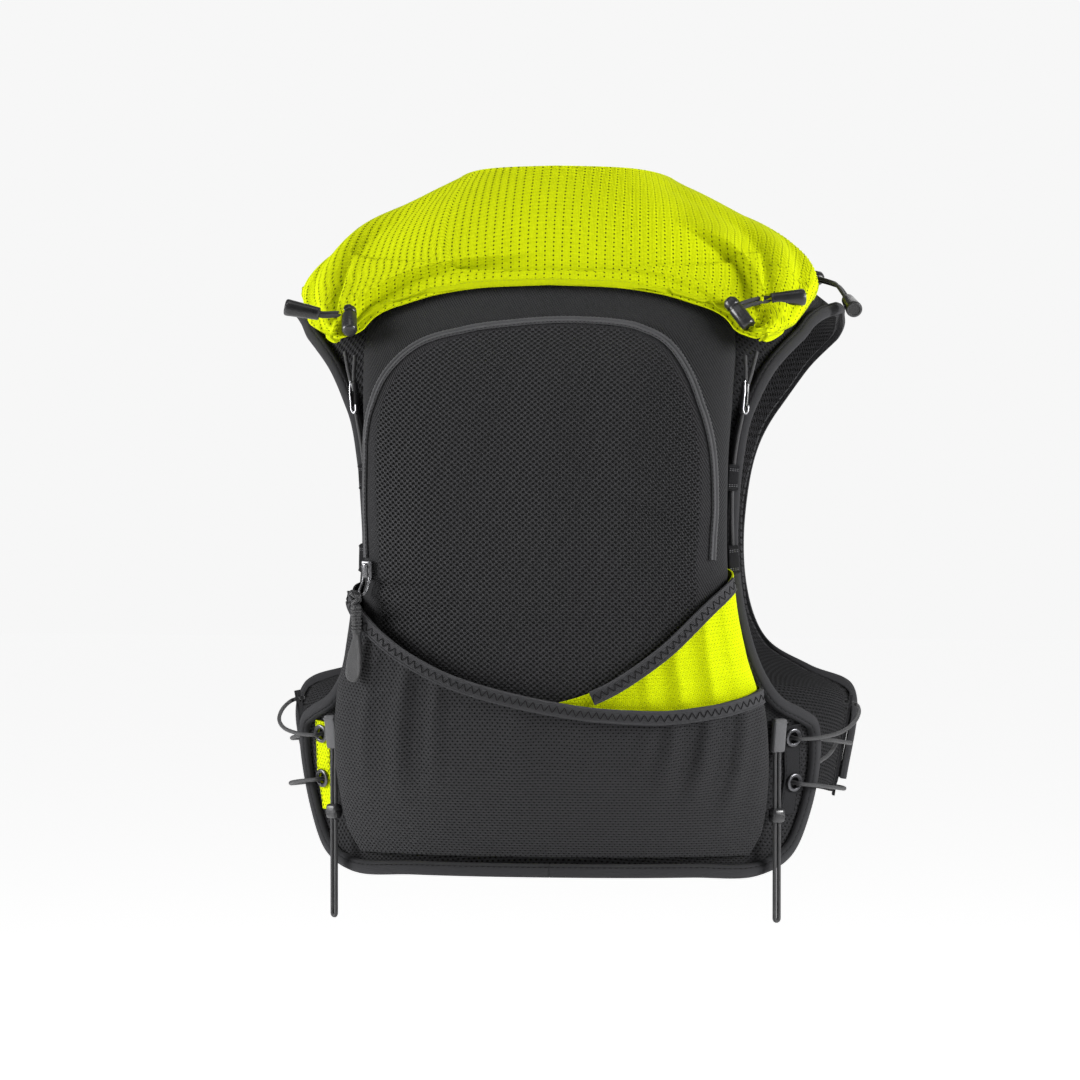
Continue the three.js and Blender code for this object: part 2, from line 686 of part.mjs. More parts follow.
// A band along a pocket's top edge, from one share of the half width to another, standing on that layer.
function pocketBand(topEdge, from, to, inside, lift) {
  const topAt = column(topEdge, "x", "drop");
  const stations = shares(22).map((t) => {
    const u = mix(from, to, t);
    const z = -topAt(u) * backDrop - bandWidth * 0.4;
    const step = 0.003;
    const alongX = onPocket(u + step, z, inside).sub(onPocket(u - step, z, inside));
    const alongZ = onPocket(u, z + 0.4, inside).sub(onPocket(u, z - 0.4, inside));
    const out = alongX.cross(alongZ).normalize();
    return { at: onPocket(u, z, inside).addScaledVector(out, lift), out };
  });
  return sweep(stations, tapeSection(bandWidth, 0, bandHeight));
}
const bandEnd = 0.965;
const underBandStart = 0.24;
add("pocket_outer_band", pocketBand(outerTop, -bandEnd, bandEnd, 0, bandHeight + gap), greyElastic);
add("pocket_under_band", pocketBand(underTop, underBandStart, bandEnd, underInside, gap), greyElastic);

// Yoke: loose lime mesh over the shoulders, lifted off the harness and the pack's top, with folds from its corners

const yokeKeys = ["hemX", "hemDrop", "topTurn", "topDrop"];
const yokeCurve = Object.fromEntries(yokeKeys.map((key) => [key, column(yokeEdge, "along", key)]));

function yokeSpot(u, v) {
  const along = Math.abs(u);
  const hemZ = -yokeCurve.hemDrop(along) * backDrop;
  const hemTurn = turnAt(yokeCurve.hemX(along) * shoulderHalf, hemZ);
  const topZ = -yokeCurve.topDrop(along) * backDrop;
  const turn = mix(hemTurn, radians(yokeCurve.topTurn(along)), v);
  return { turn: Math.sign(u) * turn, z: mix(hemZ, topZ, v) };
}

function yokeRise(u, v) {
  const body = Math.sin(Math.PI * mix(0.06, 1, v)) * (1 - smooth(Math.abs(u), 0.84, 1));
  const folds = yokeFolds.map(({ hem, top, width, rise }) => {
    const away = (u - mix(hem, top, v)) / (width * (1 + v));
    return rise * Math.exp(-away * away) * (1 - v ** 2);
  });
  return yokeLoft * (body + folds.reduce((sum, fold) => sum + fold, 0));
}

function yokeFaces(turn, z, u, v) {
  const foot = onForm(turn, z, 0);
  const onBackSide = Math.abs(turn) < Math.PI / 2;
  const spread = [-8, 0, 8].map((dx) => (onBackSide ? packHeight(foot.x + dx, z - 4) : 0));
  const low = packFrom + Math.max(...spread) + (spread[1] > 0 ? gap : 0) + yokeRise(u, v);
  return { low, top: low + clothWall };
}
const yokeColumns = across(30);
const yoke = add("shoulder_yoke", clothOverForm(yokeColumns, shares(7), yokeSpot, yokeFaces), limeMesh);

// Small parts on the surfaces

// A place on a surface given as a function of x and z, with its directions: side is towards +X, up along the surface.
function seatOn(surface, x, z) {
  const out = surfaceOut(surface, x, z);
  const up = new THREE.Vector3(0, 0, 1).addScaledVector(out, -out.z).normalize();
  return { at: surface(x, z), side: up.clone().cross(out), up, out };
}
const place = (geometry, { at, side, up, out }) => setAt(geometry, at, side, up, out);
const fromSeat = ({ at, side, up, out }, a, b, c) =>
  at.clone().addScaledVector(side, a).addScaledVector(up, b).addScaledVector(out, c);

// A plate with rounded corners, centred in its own plane and standing from low to high.
function plate(width, height, low, high, corner) {
  const [w, h] = [width / 2, height / 2];
  const shape = new THREE.Shape();
  shape.moveTo(-w + corner, -h);
  shape.lineTo(w - corner, -h).quadraticCurveTo(w, -h, w, -h + corner);
  shape.lineTo(w, h - corner).quadraticCurveTo(w, h, w - corner, h);
  shape.lineTo(-w + corner, h).quadraticCurveTo(-w, h, -w, h - corner);
  shape.lineTo(-w, -h + corner).quadraticCurveTo(-w, -h, -w + corner, -h);
  return new THREE.ExtrudeGeometry(shape, { depth: high - low, bevelEnabled: false, curveSegments: 3 }).translate(0, 0, low);
}

// A turned part about Y from {radius, y} rows.
const turned = (rows, sides = 10) =>
  new THREE.LatheGeometry(
    rows.map(({ radius, y }) => new THREE.Vector2(radius, y)),
    sides,
  );

// Wing patches with a steel eyelet for each lace: the left one is lime

const wingPatchWidth = 12.5;
const wingPatchTop = 297;
const wingPatchBottom = 350;
const wingPatchX = 136.6;
const patchLow = harnessWall + gap;
const patchColour = { left: limeMesh, right: blackCloth };
for (const { side, label } of sides) {
  const strip = shares(6).map((t) => {
    const z = mix(-wingPatchTop, -wingPatchBottom, t);
    const x = side * (wingPatchX - 3 * smooth(t, 0.5, 1));
    const { at, out } = seatOn((a, b) => onBack(a, b, 0), x, z);
    return { at, out };
  });
  const tools = eyeletSpots
    .filter((spot) => spot.side === side)
    .map(({ x, z }) => rod(onBack(x, z, -harnessWall), onBack(x, z, harnessWall * 3), eyeletHole + gap, 10));
  const patch = sweep(strip, tapeSection(wingPatchWidth, patchLow, patchLow + clothWall));
  add(`wing_patch_${label}`, cut(patch, ...tools), patchColour[label]);
}
const eyeletLow = patchLow + clothWall + gap;
for (const { label, name, x, z } of eyeletSpots) {
  const ring = turned([
    { radius: eyeletHole, y: 0 },
    { radius: eyeletOuter, y: 0 },
    { radius: eyeletOuter, y: eyeletHeight * 0.5 },
    { radius: eyeletOuter - 0.9, y: eyeletHeight },
    { radius: eyeletHole, y: eyeletHeight * 0.7 },
    { radius: eyeletHole, y: 0 },
  ]).rotateX(Math.PI / 2);
  const seat = seatOn((a, b) => onBack(a, b, eyeletLow), x, z);
  add(`eyelet_${name}_${label}`, place(ring, seat), steel);
}

// Side lacing: one elastic cord each side, from the front panel's lace tape through both eyelets and back

const laceTapeTurns = { from: 94, to: 98 };
const laceTapeDrops = { from: 285, to: 346 };
const laceTapeLow = 0;
const laceTapeHigh = 1.4;
const laceHoleTurn = 96;
const laceHoleDrops = [290.1, 314, 340.7];
// Turn in degrees round the form, drop in millimetres and off the form's surface.
const laceRoute = [
  { turn: 96, drop: 290, off: -3 },
  { turn: 96, drop: 290.2, off: 3.4 },
  { turn: 91, drop: 292.5, off: 6.5 },
  { turn: 78, drop: 298, off: 9 },
  { turn: 68, drop: 301.6, off: 11 },
  { turn: 60, drop: 303.4, off: 11.4 },
  { turn: 55.4, drop: 303.9, off: 11 },
  { turn: 52.9, drop: 304, off: 9.6 },
  { turn: 52.1, drop: 304.1, off: 5 },
  { turn: 52.2, drop: 304.3, off: 0 },
  { turn: 53.6, drop: 304.6, off: -2.8 },
  { turn: 62, drop: 306.5, off: -3 },
  { turn: 74, drop: 309, off: 0.5 },
  { turn: 88, drop: 312, off: 4.6 },
  { turn: 95, drop: 313.4, off: 4.4 },
  { turn: 96.2, drop: 314, off: 0.6 },
  { turn: 95.4, drop: 314.6, off: -2.6 },
  { turn: 92, drop: 315.5, off: -3.4 },
  { turn: 76, drop: 320, off: -2.4 },
  { turn: 64, drop: 326, off: -3 },
  { turn: 56.4, drop: 330.2, off: -2.8 },
  { turn: 55, drop: 330.8, off: 0 },
  { turn: 54.8, drop: 331, off: 5 },
  { turn: 55.6, drop: 331.2, off: 9.6 },
  { turn: 58.4, drop: 331.7, off: 11 },
  { turn: 62.5, drop: 332.6, off: 11.4 },
  { turn: 70, drop: 334.6, off: 11 },
  { turn: 81, drop: 337.6, off: 8.5 },
  { turn: 92, drop: 340, off: 5.6 },
  { turn: 96, drop: 340.6, off: 2.6 },
  { turn: 96, drop: 340.8, off: -3 },
];
const laceSteps = 56;

for (const { side, label } of sides) {
  const route = laceRoute.map(({ turn, drop, off }) => onForm(side * radians(turn), -drop, off));
  const tape = clothOverForm(
    shares(2),
    shares(5),
    (u, v) => ({
      turn: side * radians(mix(laceTapeTurns.from, laceTapeTurns.to, u)),
      z: -mix(laceTapeDrops.from, laceTapeDrops.to, v),
    }),
    () => ({ low: laceTapeLow, top: laceTapeHigh }),
  );
  const holes = laceHoleDrops.map((drop) => {
    const turn = side * radians(laceHoleTurn);
    return rod(onForm(turn, -drop, -4), onForm(turn, -drop, 6), cordRadius + 2.6 * boreClearance, 10);
  });
  add(`lace_tape_${label}`, cut(tape, ...holes), blackCloth);
  add(`side_lace_${label}`, cord(route, cordRadius, laceSteps), blackCord);
}

// Chest straps over the front panels, each with a plain clip in the middle

const strapOver = bindingLow + bindingHeight + gap;
for (const [name, drop] of Object.entries(chestStrapDrops)) {
  const z = -drop;
  const edgeX = formSizes(z).half * Math.abs(Math.sin(frontTurn("inner", z))) ** (2 / formRoundness);
  const reach = Math.PI - turnAt(chestStrapReach, z);
  const stations = across(12).map((t) => {
    const turn = Math.PI + t * (Math.PI - reach);
    const x = Math.abs(onForm(turn, z, 0).x);
    const off = mix(strapOver, harnessWall + gap, smooth(x, edgeX + 9, edgeX + 20));
    const at = onForm(turn, z, off);
    return { at, out: onForm(turn, z, off + 1).sub(at).normalize() };
  });
  add(`chest_strap_${name}`, sweep(stations, tapeSection(chestStrapWidth, 0, chestStrapWall)), blackCloth);

  const middle = onForm(Math.PI, z, strapOver);
  const clipSeat = {
    at: middle,
    side: new THREE.Vector3(-1, 0, 0),
    up: new THREE.Vector3(0, 0, 1),
    out: new THREE.Vector3(0, 1, 0),
  };
  const tilt = Math.atan2(onForm(Math.PI, z + 5, 0).y - onForm(Math.PI, z - 5, 0).y, 10);
  const clip = plate(clipLength, chestStrapWidth + 2 * clipRim, -clipRim, chestStrapWall + clipRim, 4);
  const slot = plate(clipLength + 4, chestStrapWidth + 2 * gap, -gap, chestStrapWall + gap, 0.3);
  add(`chest_clip_${name}`, place(cut(clip, slot).rotateX(tilt), clipSeat), blackPlastic);
}

// The vest's outermost surface as seen from behind

const sight = new THREE.Raycaster();
function surfaceBehind(x, z) {
  vest.updateMatrixWorld(true);
  sight.set(new THREE.Vector3(x, -2 * formBack, z), new THREE.Vector3(0, 1, 0));
  return sight.intersectObjects(vest.children)[0].point;
}

// Cord in a hairpin: two strands out along the points, turned back at the last one. The outs face off the surface.
function hairpin(points, outs, spread, radius) {
  const route = new THREE.CatmullRomCurve3(points, false, "centripetal");
  const facing = new THREE.CatmullRomCurve3(outs, false, "centripetal");
  const count = (points.length - 1) * 2;
  const spine = shares(count).map((t) => {
    const at = route.getPoint(t);
    const along = route.getTangent(t);
    const out = facing.getPoint(t).normalize();
    return { at, along, out, aside: along.clone().cross(out).normalize() };
  });
  const strand = (sign) => spine.map(({ at, out, aside }) => ({ at: at.clone().addScaledVector(aside, sign * spread), out }));
  const { at, along, out, aside } = spine[spine.length - 1];
  const bend = [30, 60, 90, 120, 150].map((degrees) => {
    const turn = radians(degrees);
    const shifted = at.clone().addScaledVector(aside, spread * Math.cos(turn));
    return { at: shifted.addScaledVector(along, spread * Math.sin(turn)), out };
  });
  const ring = Array.from({ length: cordSides }, (_, i) => {
    const turn = (i / cordSides) * 2 * Math.PI;
    return [radius * Math.cos(turn), radius * Math.sin(turn)];
  });
  return sweep([...strand(1), ...bend, ...strand(-1).reverse()], ring);
}

// Tails: a barrel cord lock, two strands of cord and a flared cord end

const twinBore = { width: 2 * (tailSpread + cordRadius + boreClearance), height: 2 * (cordRadius + boreClearance) };
const twinTool = (from, to) => plate(twinBore.width, twinBore.height, from, to, 1.4);
const barrelRows = [
  { radius: 0, y: -0.5 },
  { radius: 0.84, y: -0.5 },
  { radius: 1, y: -0.44 },
  { radius: 1, y: 0.16 },
  { radius: 0.9, y: 0.19 },
  { radius: 0.9, y: 0.26 },
  { radius: 1, y: 0.29 },
  { radius: 1, y: 0.44 },
  { radius: 0.78, y: 0.5 },
  { radius: 0, y: 0.5 },
].map(({ radius, y }) => ({ radius: radius * lockRadius, y: y * lockLength }));
const endRows = [
  { radius: 0, y: 0 },
  { radius: endNeck, y: 0 },
  { radius: endNeck * 1.08, y: 0.06 * endLength },
  { radius: endRadius, y: 0.86 * endLength },
  { radius: endRadius, y: 0.94 * endLength },
  { radius: endRadius * 0.86, y: endLength },
  { radius: 0, y: endLength },
];
const endBore = 9;

// Places a twin bore's tool at a point, along a direction, with its flat side facing out.
function twinToolAt(at, along, out, from, to) {
  const aside = along.clone().cross(out).normalize();
  const flat = along.clone().cross(aside).normalize();
  return setAt(twinTool(from, to), at, aside, flat, along);
}

// Adds a tail of three pieces. The points run from inside the lock to inside the end.
function addTail(label, points, outs, lockAxis) {
  const [start, next] = points;
  const leave = next.clone().sub(start).normalize();
  const axis = lockAxis.clone().addScaledVector(leave, -lockAxis.dot(leave)).normalize();
  const barrel = setAt(turned(barrelRows), start.clone().addScaledVector(axis, -0.2 * lockLength), leave, axis, leave.clone().cross(axis));
  const lockTool = twinToolAt(start, leave, outs[0], -3, 3 * lockRadius);
  add(`${label}_lock`, cut(barrel, lockTool), blackPlastic);

  const last = points[points.length - 1];
  const arrive = last.clone().sub(points[points.length - 2]).normalize();
  const outAtEnd = outs[outs.length - 1];
  const mouth = last.clone().addScaledVector(arrive, tailSpread + cordRadius + gap - endBore);
  const side = arrive.clone().cross(outAtEnd).normalize();
  const end = setAt(turned(endRows), mouth, side, arrive, side.clone().cross(arrive));
  const endTool = twinToolAt(mouth, arrive, outAtEnd, -2, endBore);
  add(`${label}_end`, cut(end, endTool), blackPlastic);
  add(`${label}_cord`, hairpin(points, outs, tailSpread, cordRadius), blackCord);
}

// Corner tails lie on the yoke. Points are in millimetres from the lock: aside, up and clear of the cloth.
const cornerTails = [
  {
    label: "corner_left",
    x: -115.5,
    z: -65,
    axis: [0.5, 0.86],
    points: [
      [-1, 4.4, 5.9],
      [-8, 4, 7],
      [-16, 3.6, 7],
      [-24, 5, 8],
    ],
  },
  {
    label: "corner_right",
    x: 107,
    z: -61,
    axis: [-0.42, 0.9],
    points: [
      [1, 4.4, 6.1],
      [8, 7.6, 6],
      [17, 9.6, 7],
      [29, 10, 8],
    ],
  },
];
for (const { label, x, z, axis, points } of cornerTails) {
  const ahead = surfaceBehind(x + 3, z).sub(surfaceBehind(x - 3, z));
  const above = surfaceBehind(x, z + 3).sub(surfaceBehind(x, z - 3));
  const out = ahead.clone().cross(above).normalize();
  const side = ahead.normalize();
  const up = out.clone().cross(side);
  const seat = { at: surfaceBehind(x, z), side, up, out };
  const route = points.map(([a, b, c]) => fromSeat(seat, a, b, c));
  addTail(label, route, route.map(() => out), side.clone().multiplyScalar(axis[0]).addScaledVector(up, axis[1]));
}

// The right shoulder's tail: turn in degrees round the form, drop and off in millimetres.
const shoulderTail = [
  { turn: 110, drop: 44, off: 13.8 },
  { turn: 100, drop: 49, off: 15 },
  { turn: 88, drop: 52, off: 15 },
  { turn: 77, drop: 61, off: 15.4 },
];
{
  const route = shoulderTail.map(({ turn, drop, off }) => onForm(radians(turn), -drop, off));
  const outs = shoulderTail.map(({ turn, drop }) => onForm(radians(turn), -drop, 1).sub(onForm(radians(turn), -drop, 0)).normalize());
  addTail("shoulder_right", route, outs, new THREE.Vector3(-0.1, 1, 0.1));
}

// Side cords: from the yoke's corners through a gate clip and a keeper down to an anchor tab

const cordTool = (route) => cord(route, cordRadius + boreClearance, 14);
// Points of the right side cord, mirrored for the left one: x and drop in millimetres, and off the form's surface.
const sideCordRoute = [
  { x: 109.5, drop: 84, off: 12.6 },
  { x: 110.4, drop: 97, off: 11.6 },
  { x: 109.4, drop: 112, off: 11.2 },
  { x: 106, drop: 132, off: 11 },
  { x: 104, drop: 150, off: 11 },
  { x: 103.4, drop: 170, off: 11 },
  { x: 103.6, drop: 186, off: 11 },
  { x: 104, drop: 198, off: 11 },
];
const gateDrop = 105;
const keeperDrop = 150;
const anchorDrop = 201;
const sideCordSteps = 24;

for (const { side, label } of sides) {
  const route = sideCordRoute.map(({ x, drop, off }) => onBack(side * x, -drop, off));
  const curve = new THREE.CatmullRomCurve3(route, false, "centripetal");
  const alongAt = (drop) => {
    const fractions = shares(60).map((t) => ({ t, z: curve.getPoint(t).z }));
    const { t } = fractions.find(({ z }) => z <= -drop) ?? { t: 1 };
    return { at: curve.getPoint(t), down: curve.getTangent(t) };
  };
  const block = (width, height, depth, corner, drop, tool) => {
    const { at, down } = alongAt(drop);
    const out = seatOn((a, b) => onBack(a, b, 0), at.x, at.z).out;
    const up = down.clone().negate();
    const aside = up.clone().cross(out).normalize();
    const body = plate(width, height, -depth / 2, depth / 2, corner);
    return cut(setAt(body, at, aside, up, aside.clone().cross(up)), tool);
  };
  const bore = cordTool(route);
  add(`side_gate_${label}`, block(gateWidth, gateHeight, gateDepth, 1.8, gateDrop, bore), blackPlastic);
  add(`cord_keeper_${label}`, block(keeperWidth, keeperHeight, keeperDepth, 1, keeperDrop, bore), blackCloth);
  add(`cord_anchor_${label}`, block(anchorWidth, anchorHeight, keeperDepth, 1, anchorDrop, bore), blackCloth);
  add(`side_cord_${label}`, cord(route, cordRadius, sideCordSteps), blackCord);
}

// Lower loops: a folded tab, a loop of cord that hangs from it, and a flat bead that draws the loop together

const loopSpread = tailSpread;
for (const { side, label } of sides) {
  const tabMiddle = (loopTabTop + loopTabBottom) / 2;
  const low = eyeletLow;
  const seat = seatOn((a, b) => onBack(a, b, low), side * loopX, -tabMiddle);
  const half = (loopTabBottom - loopTabTop) / 2;
  const middle = low + loopTabDepth / 2;
  const top = fromSeat(seat, 0, 3 - half, loopTabDepth / 2);
  const mouth = fromSeat(seat, 0, -half - 2, loopTabDepth / 2);
  const hang = (drop) => new THREE.Vector3(mouth.x, mouth.y - 1.2, -drop);
  const points = [top, mouth, hang(326), hang(346), hang(370), hang(loopDrop - loopSpread)];
  const outs = points.map((_, i) => (i < 2 ? seat.out : seat.out.clone().setZ(0).normalize()));
  const tab = place(plate(2 * (loopSpread + cordRadius + boreClearance) + 2.4, 2 * half, 0, loopTabDepth, 1), seat);
  const pocket = twinToolAt(top, seat.up.clone().negate(), seat.out, -4, 2 * half);
  add(`loop_tab_${label}`, cut(tab, pocket), blackCloth);
  add(`lower_loop_${label}`, hairpin(points, outs, loopSpread, cordRadius), blackCord);

  const level = hang(350);
  const out = outs[outs.length - 1];
  const across = new THREE.Vector3(0, 0, 1).cross(out).normalize();
  const bead = plate(beadWidth, beadHeight, -beadDepth / 2, beadDepth / 2, 2.4);
  const down = new THREE.Vector3(0, 0, -1);
  const beadTool = twinToolAt(level, down, out, -beadHeight, beadHeight);
  add(`loop_bead_${label}`, cut(setAt(bead, level, across, down.clone().negate(), out), beadTool), blackPlastic);
}

// The left wing's tape, along the pocket's edge

const wingTapeX = 126.6;
const wingTapeWidth = 6.6;
{
  const stations = shares(5).map((t) => {
    const z = mix(-wingPatchTop, -wingPatchBottom, t);
    const { at, out } = seatOn((a, b) => onBack(a, b, 0), -wingTapeX + 3 * smooth(t, 0.5, 1), z);
    return { at, out };
  });
  add("wing_tape_left", sweep(stations, tapeSection(wingTapeWidth, patchLow, patchLow + clothWall)), blackCloth);
}

// Zip slider with its wire, and the soft pull that hangs from the wire

const sliderDrop = zipFoot + 6.2;
const sliderX = -zipHalf * 0.97;
const sliderBody = { width: 7, height: 11, depth: 4 };
const wireHalf = 2.1;
const wireDrop = 14; // slider's middle down to the wire's lowest point
const wireOut = sliderBody.depth - 1;
{
  const flank = seatOn(onPack, sliderX, -sliderDrop);
  const square = seatOn((a, b) => onBack(a, b, 0), sliderX, -sliderDrop);
  const out = flank.out.clone().lerp(square.out, 0.55).normalize();
  const seat = { at: flank.at.clone().addScaledVector(out, 0.6), out, up: square.up, side: square.up.clone().cross(out) };
  const wirePoints = [
    [-wireHalf, 1],
    [-wireHalf, -5],
    [-wireHalf, 1.5 - wireDrop],
    [0, -wireDrop],
    [wireHalf, 1.5 - wireDrop],
    [wireHalf, -5],
    [wireHalf, 1],
  ].map(([a, b]) => fromSeat(seat, a, b, wireOut + 0.6 * Math.max(0, -b - 5)));
  const body = place(plate(sliderBody.width, sliderBody.height, gap, sliderBody.depth + gap, 2), seat);
  const wire = cord(wirePoints, pullWireRadius, 16);
  add("zip_slider", geometryOf(solid(body).add(solid(wire))), steel);

  const pullMiddle = fromSeat(seat, -1, 3 - wireDrop - pullLength / 2, wireOut + 10);
  const pull = plate(pullWidth, pullLength, -pullWall / 2, pullWall / 2, 3);
  const hang = { ...seat, at: pullMiddle };
  add("zip_pull", cut(place(pull, hang), cord(wirePoints, pullWireRadius + gap, 16)), blackCloth);
}

export default vest;
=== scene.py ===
"""A running hydration vest: the looks of each piece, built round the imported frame.

The sizes and tables are in millimetres, as in the frame's source, and each mesh is made in metres. The
wearer's back is at -Y. Cloth lies on a smooth torso form, which is a surface to measure from and not a piece.
"""

import sys
import logging
import math
from dataclasses import dataclass
from enum import Enum
from typing import Callable, Iterable, Sequence

import bpy
import numpy as np
from mathutils import Matrix, Vector


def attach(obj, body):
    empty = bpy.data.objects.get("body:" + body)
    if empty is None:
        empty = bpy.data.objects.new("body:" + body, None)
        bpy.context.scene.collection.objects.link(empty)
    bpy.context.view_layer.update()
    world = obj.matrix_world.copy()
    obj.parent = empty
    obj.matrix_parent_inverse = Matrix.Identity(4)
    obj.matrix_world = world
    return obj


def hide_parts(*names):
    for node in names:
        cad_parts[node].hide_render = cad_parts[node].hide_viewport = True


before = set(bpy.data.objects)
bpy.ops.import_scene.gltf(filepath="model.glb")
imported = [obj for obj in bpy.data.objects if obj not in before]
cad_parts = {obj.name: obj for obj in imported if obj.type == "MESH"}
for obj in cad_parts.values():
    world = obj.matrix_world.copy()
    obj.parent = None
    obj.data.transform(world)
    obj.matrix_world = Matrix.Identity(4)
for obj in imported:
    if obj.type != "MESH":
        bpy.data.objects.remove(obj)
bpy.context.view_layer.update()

LOG = logging.getLogger("vest")

Array = np.ndarray
Rows = Sequence[tuple[float, ...]]
Place = Callable[[Array, Array], Array]
Colour = tuple[float, float, float, float]
Piece = bpy.types.Object
Material = bpy.types.Material
Tree = bpy.types.NodeTree
Node = bpy.types.Node
Socket = bpy.types.NodeSocket

MM = 0.001
BACK_DROP = 385.0
SIDES = ((-1, "left"), (1, "right"))


@dataclass(frozen=True)
class Curve:
    """A smooth curve through a table's column, with no overshoot between its rows."""

    x: tuple[float, ...]
    y: tuple[float, ...]

    def __call__(self, value: Array | float) -> Array:
        """Reads the curve.

        Args:
            value: Where to read it, one place or many.

        Returns:
            The column's value at each place.
        """
        x = np.asarray(self.x)
        y = np.asarray(self.y)
        steep = np.diff(y) / np.diff(x)
        slope = np.empty_like(y)
        slope[0], slope[-1] = steep[0], steep[-1]
        before, after = steep[:-1], steep[1:]
        same_way = before * after > 0
        total = np.where(same_way, before + after, 1.0)
        slope[1:-1] = np.where(same_way, 2 * before * after / total, 0.0)
        at = np.clip(value, x[0], x[-1])
        i = np.clip(np.searchsorted(x, at, side="right") - 1, 0, len(x) - 2)
        step = x[i + 1] - x[i]
        t = (at - x[i]) / step
        ends = y[i] * (1 + 2 * t) * (1 - t) ** 2 + y[i + 1] * t * t * (3 - 2 * t)
        return ends + step * (slope[i] * t * (1 - t) ** 2 - slope[i + 1] * t * t * (1 - t))


def column(rows: Rows, at: int, key: int) -> Curve:
    """Makes a curve from two columns of a table."""
    return Curve(tuple(r[at] for r in rows), tuple(r[key] for r in rows))


def at_height(rows: Rows, key: int, z: Array | float) -> Array:
    """Reads a table's column at a height. Its first column is the drop, as a share of the back's."""
    return column(rows, 0, key)(-z / BACK_DROP)


def smooth(value: Array | float, low: float, high: float) -> Array:
    """Eases from 0 at low to 1 at high."""
    t = np.clip((np.asarray(value, float) - low) / (high - low), 0, 1)
    return t * t * (3 - 2 * t)


def bump(value: Array | float, middle: Array | float, width: Array | float) -> Array:
    """A rounded rise of height 1 at the middle, gone a few widths away."""
    return np.exp(-(((np.asarray(value, float) - middle) / width) ** 2))


def mix(a: Array | float, b: Array | float, t: Array | float) -> Array:
    """Goes from a at 0 to b at 1."""
    return a + (b - a) * t


def unit(vectors: Array) -> Array:
    """Scales vectors to length 1."""
    return vectors / np.maximum(np.linalg.norm(vectors, axis=-1, keepdims=True), 1e-12)


def smooth_path(points: Iterable[Sequence[float]], per_span: int) -> Array:
    """Runs a centripetal curve through points.

    Args:
        points: The points of the route.
        per_span: Steps between one point and the next.

    Returns:
        The curve's points, ends included.
    """
    p = np.asarray(list(points), float)
    ends = (2 * p[0] - p[1], 2 * p[-1] - p[-2])
    p = np.vstack([ends[0], p, ends[1]])
    made = []
    for i in range(1, len(p) - 2):
        gaps = np.sqrt(np.linalg.norm(np.diff(p[i - 1 : i + 3], axis=0), axis=1))
        k0 = 0.0
        k1 = k0 + gaps[0]
        k2 = k1 + gaps[1]
        k3 = k2 + gaps[2]
        for k in np.linspace(k1, k2, per_span, endpoint=False):
            a1 = (k1 - k) / (k1 - k0) * p[i - 1] + (k - k0) / (k1 - k0) * p[i]
            a2 = (k2 - k) / (k2 - k1) * p[i] + (k - k1) / (k2 - k1) * p[i + 1]
            a3 = (k3 - k) / (k3 - k2) * p[i + 1] + (k - k2) / (k3 - k2) * p[i + 2]
            b1 = (k2 - k) / (k2 - k0) * a1 + (k - k0) / (k2 - k0) * a2
            b2 = (k3 - k) / (k3 - k1) * a2 + (k - k1) / (k3 - k1) * a3
            made.append((k2 - k) / (k2 - k1) * b1 + (k - k1) / (k2 - k1) * b2)
    made.append(p[-2])
    return np.array(made)


def run_along(points: Array, axis: int) -> Array:
    """Measures how far along its rows or columns each point of a grid lies."""
    steps = np.linalg.norm(np.diff(points, axis=axis), axis=2)
    start = np.zeros_like(np.take(steps, [0], axis=axis))
    return np.concatenate([start, np.cumsum(steps, axis=axis)], axis=axis)


def run_of(path: Array) -> Array:
    """Measures how far along a path each of its points lies."""
    return run_along(path[None], 1)[0]


def read_off(wanted: Array | float, along: Sequence[float], rows: Array) -> Array:
    """Reads every column of a table at the places wanted.

    Args:
        wanted: The places, one or many.
        along: Each row's own place.
        rows: The table.

    Returns:
        A row for each place.
    """
    return np.stack([np.interp(wanted, along, rows[:, k]) for k in range(rows.shape[1])], axis=-1)


def sideways(at: Array, out: Array) -> Array:
    """Gives the directions across a route, from its points and the directions off the surface."""
    return unit(np.cross(np.gradient(at, axis=0), out))


def seated(a: Array, b: Array, c: Array, at: Sequence[float]) -> Matrix:
    """Makes the matrix that turns X, Y and Z to three directions and moves the origin.

    Args:
        a: Where X points.
        b: Where Y points.
        c: Where Z points.
        at: Where the origin goes, in millimetres.

    Returns:
        The matrix, in metres.
    """
    made = Matrix.Identity(4)
    for k in range(3):
        made[k][0], made[k][1], made[k][2], made[k][3] = a[k], b[k], c[k], at[k] * MM
    return made


def respaced(path: Array, step: float) -> Array:
    """Places points along a path at even steps.

    Args:
        path: The path's points.
        step: The distance wanted between one point and the next.

    Returns:
        The new points, ends kept.
    """
    along = run_of(path)
    count = max(2, int(round(along[-1] / step)) + 1)
    return read_off(np.linspace(0, along[-1], count), along, path)


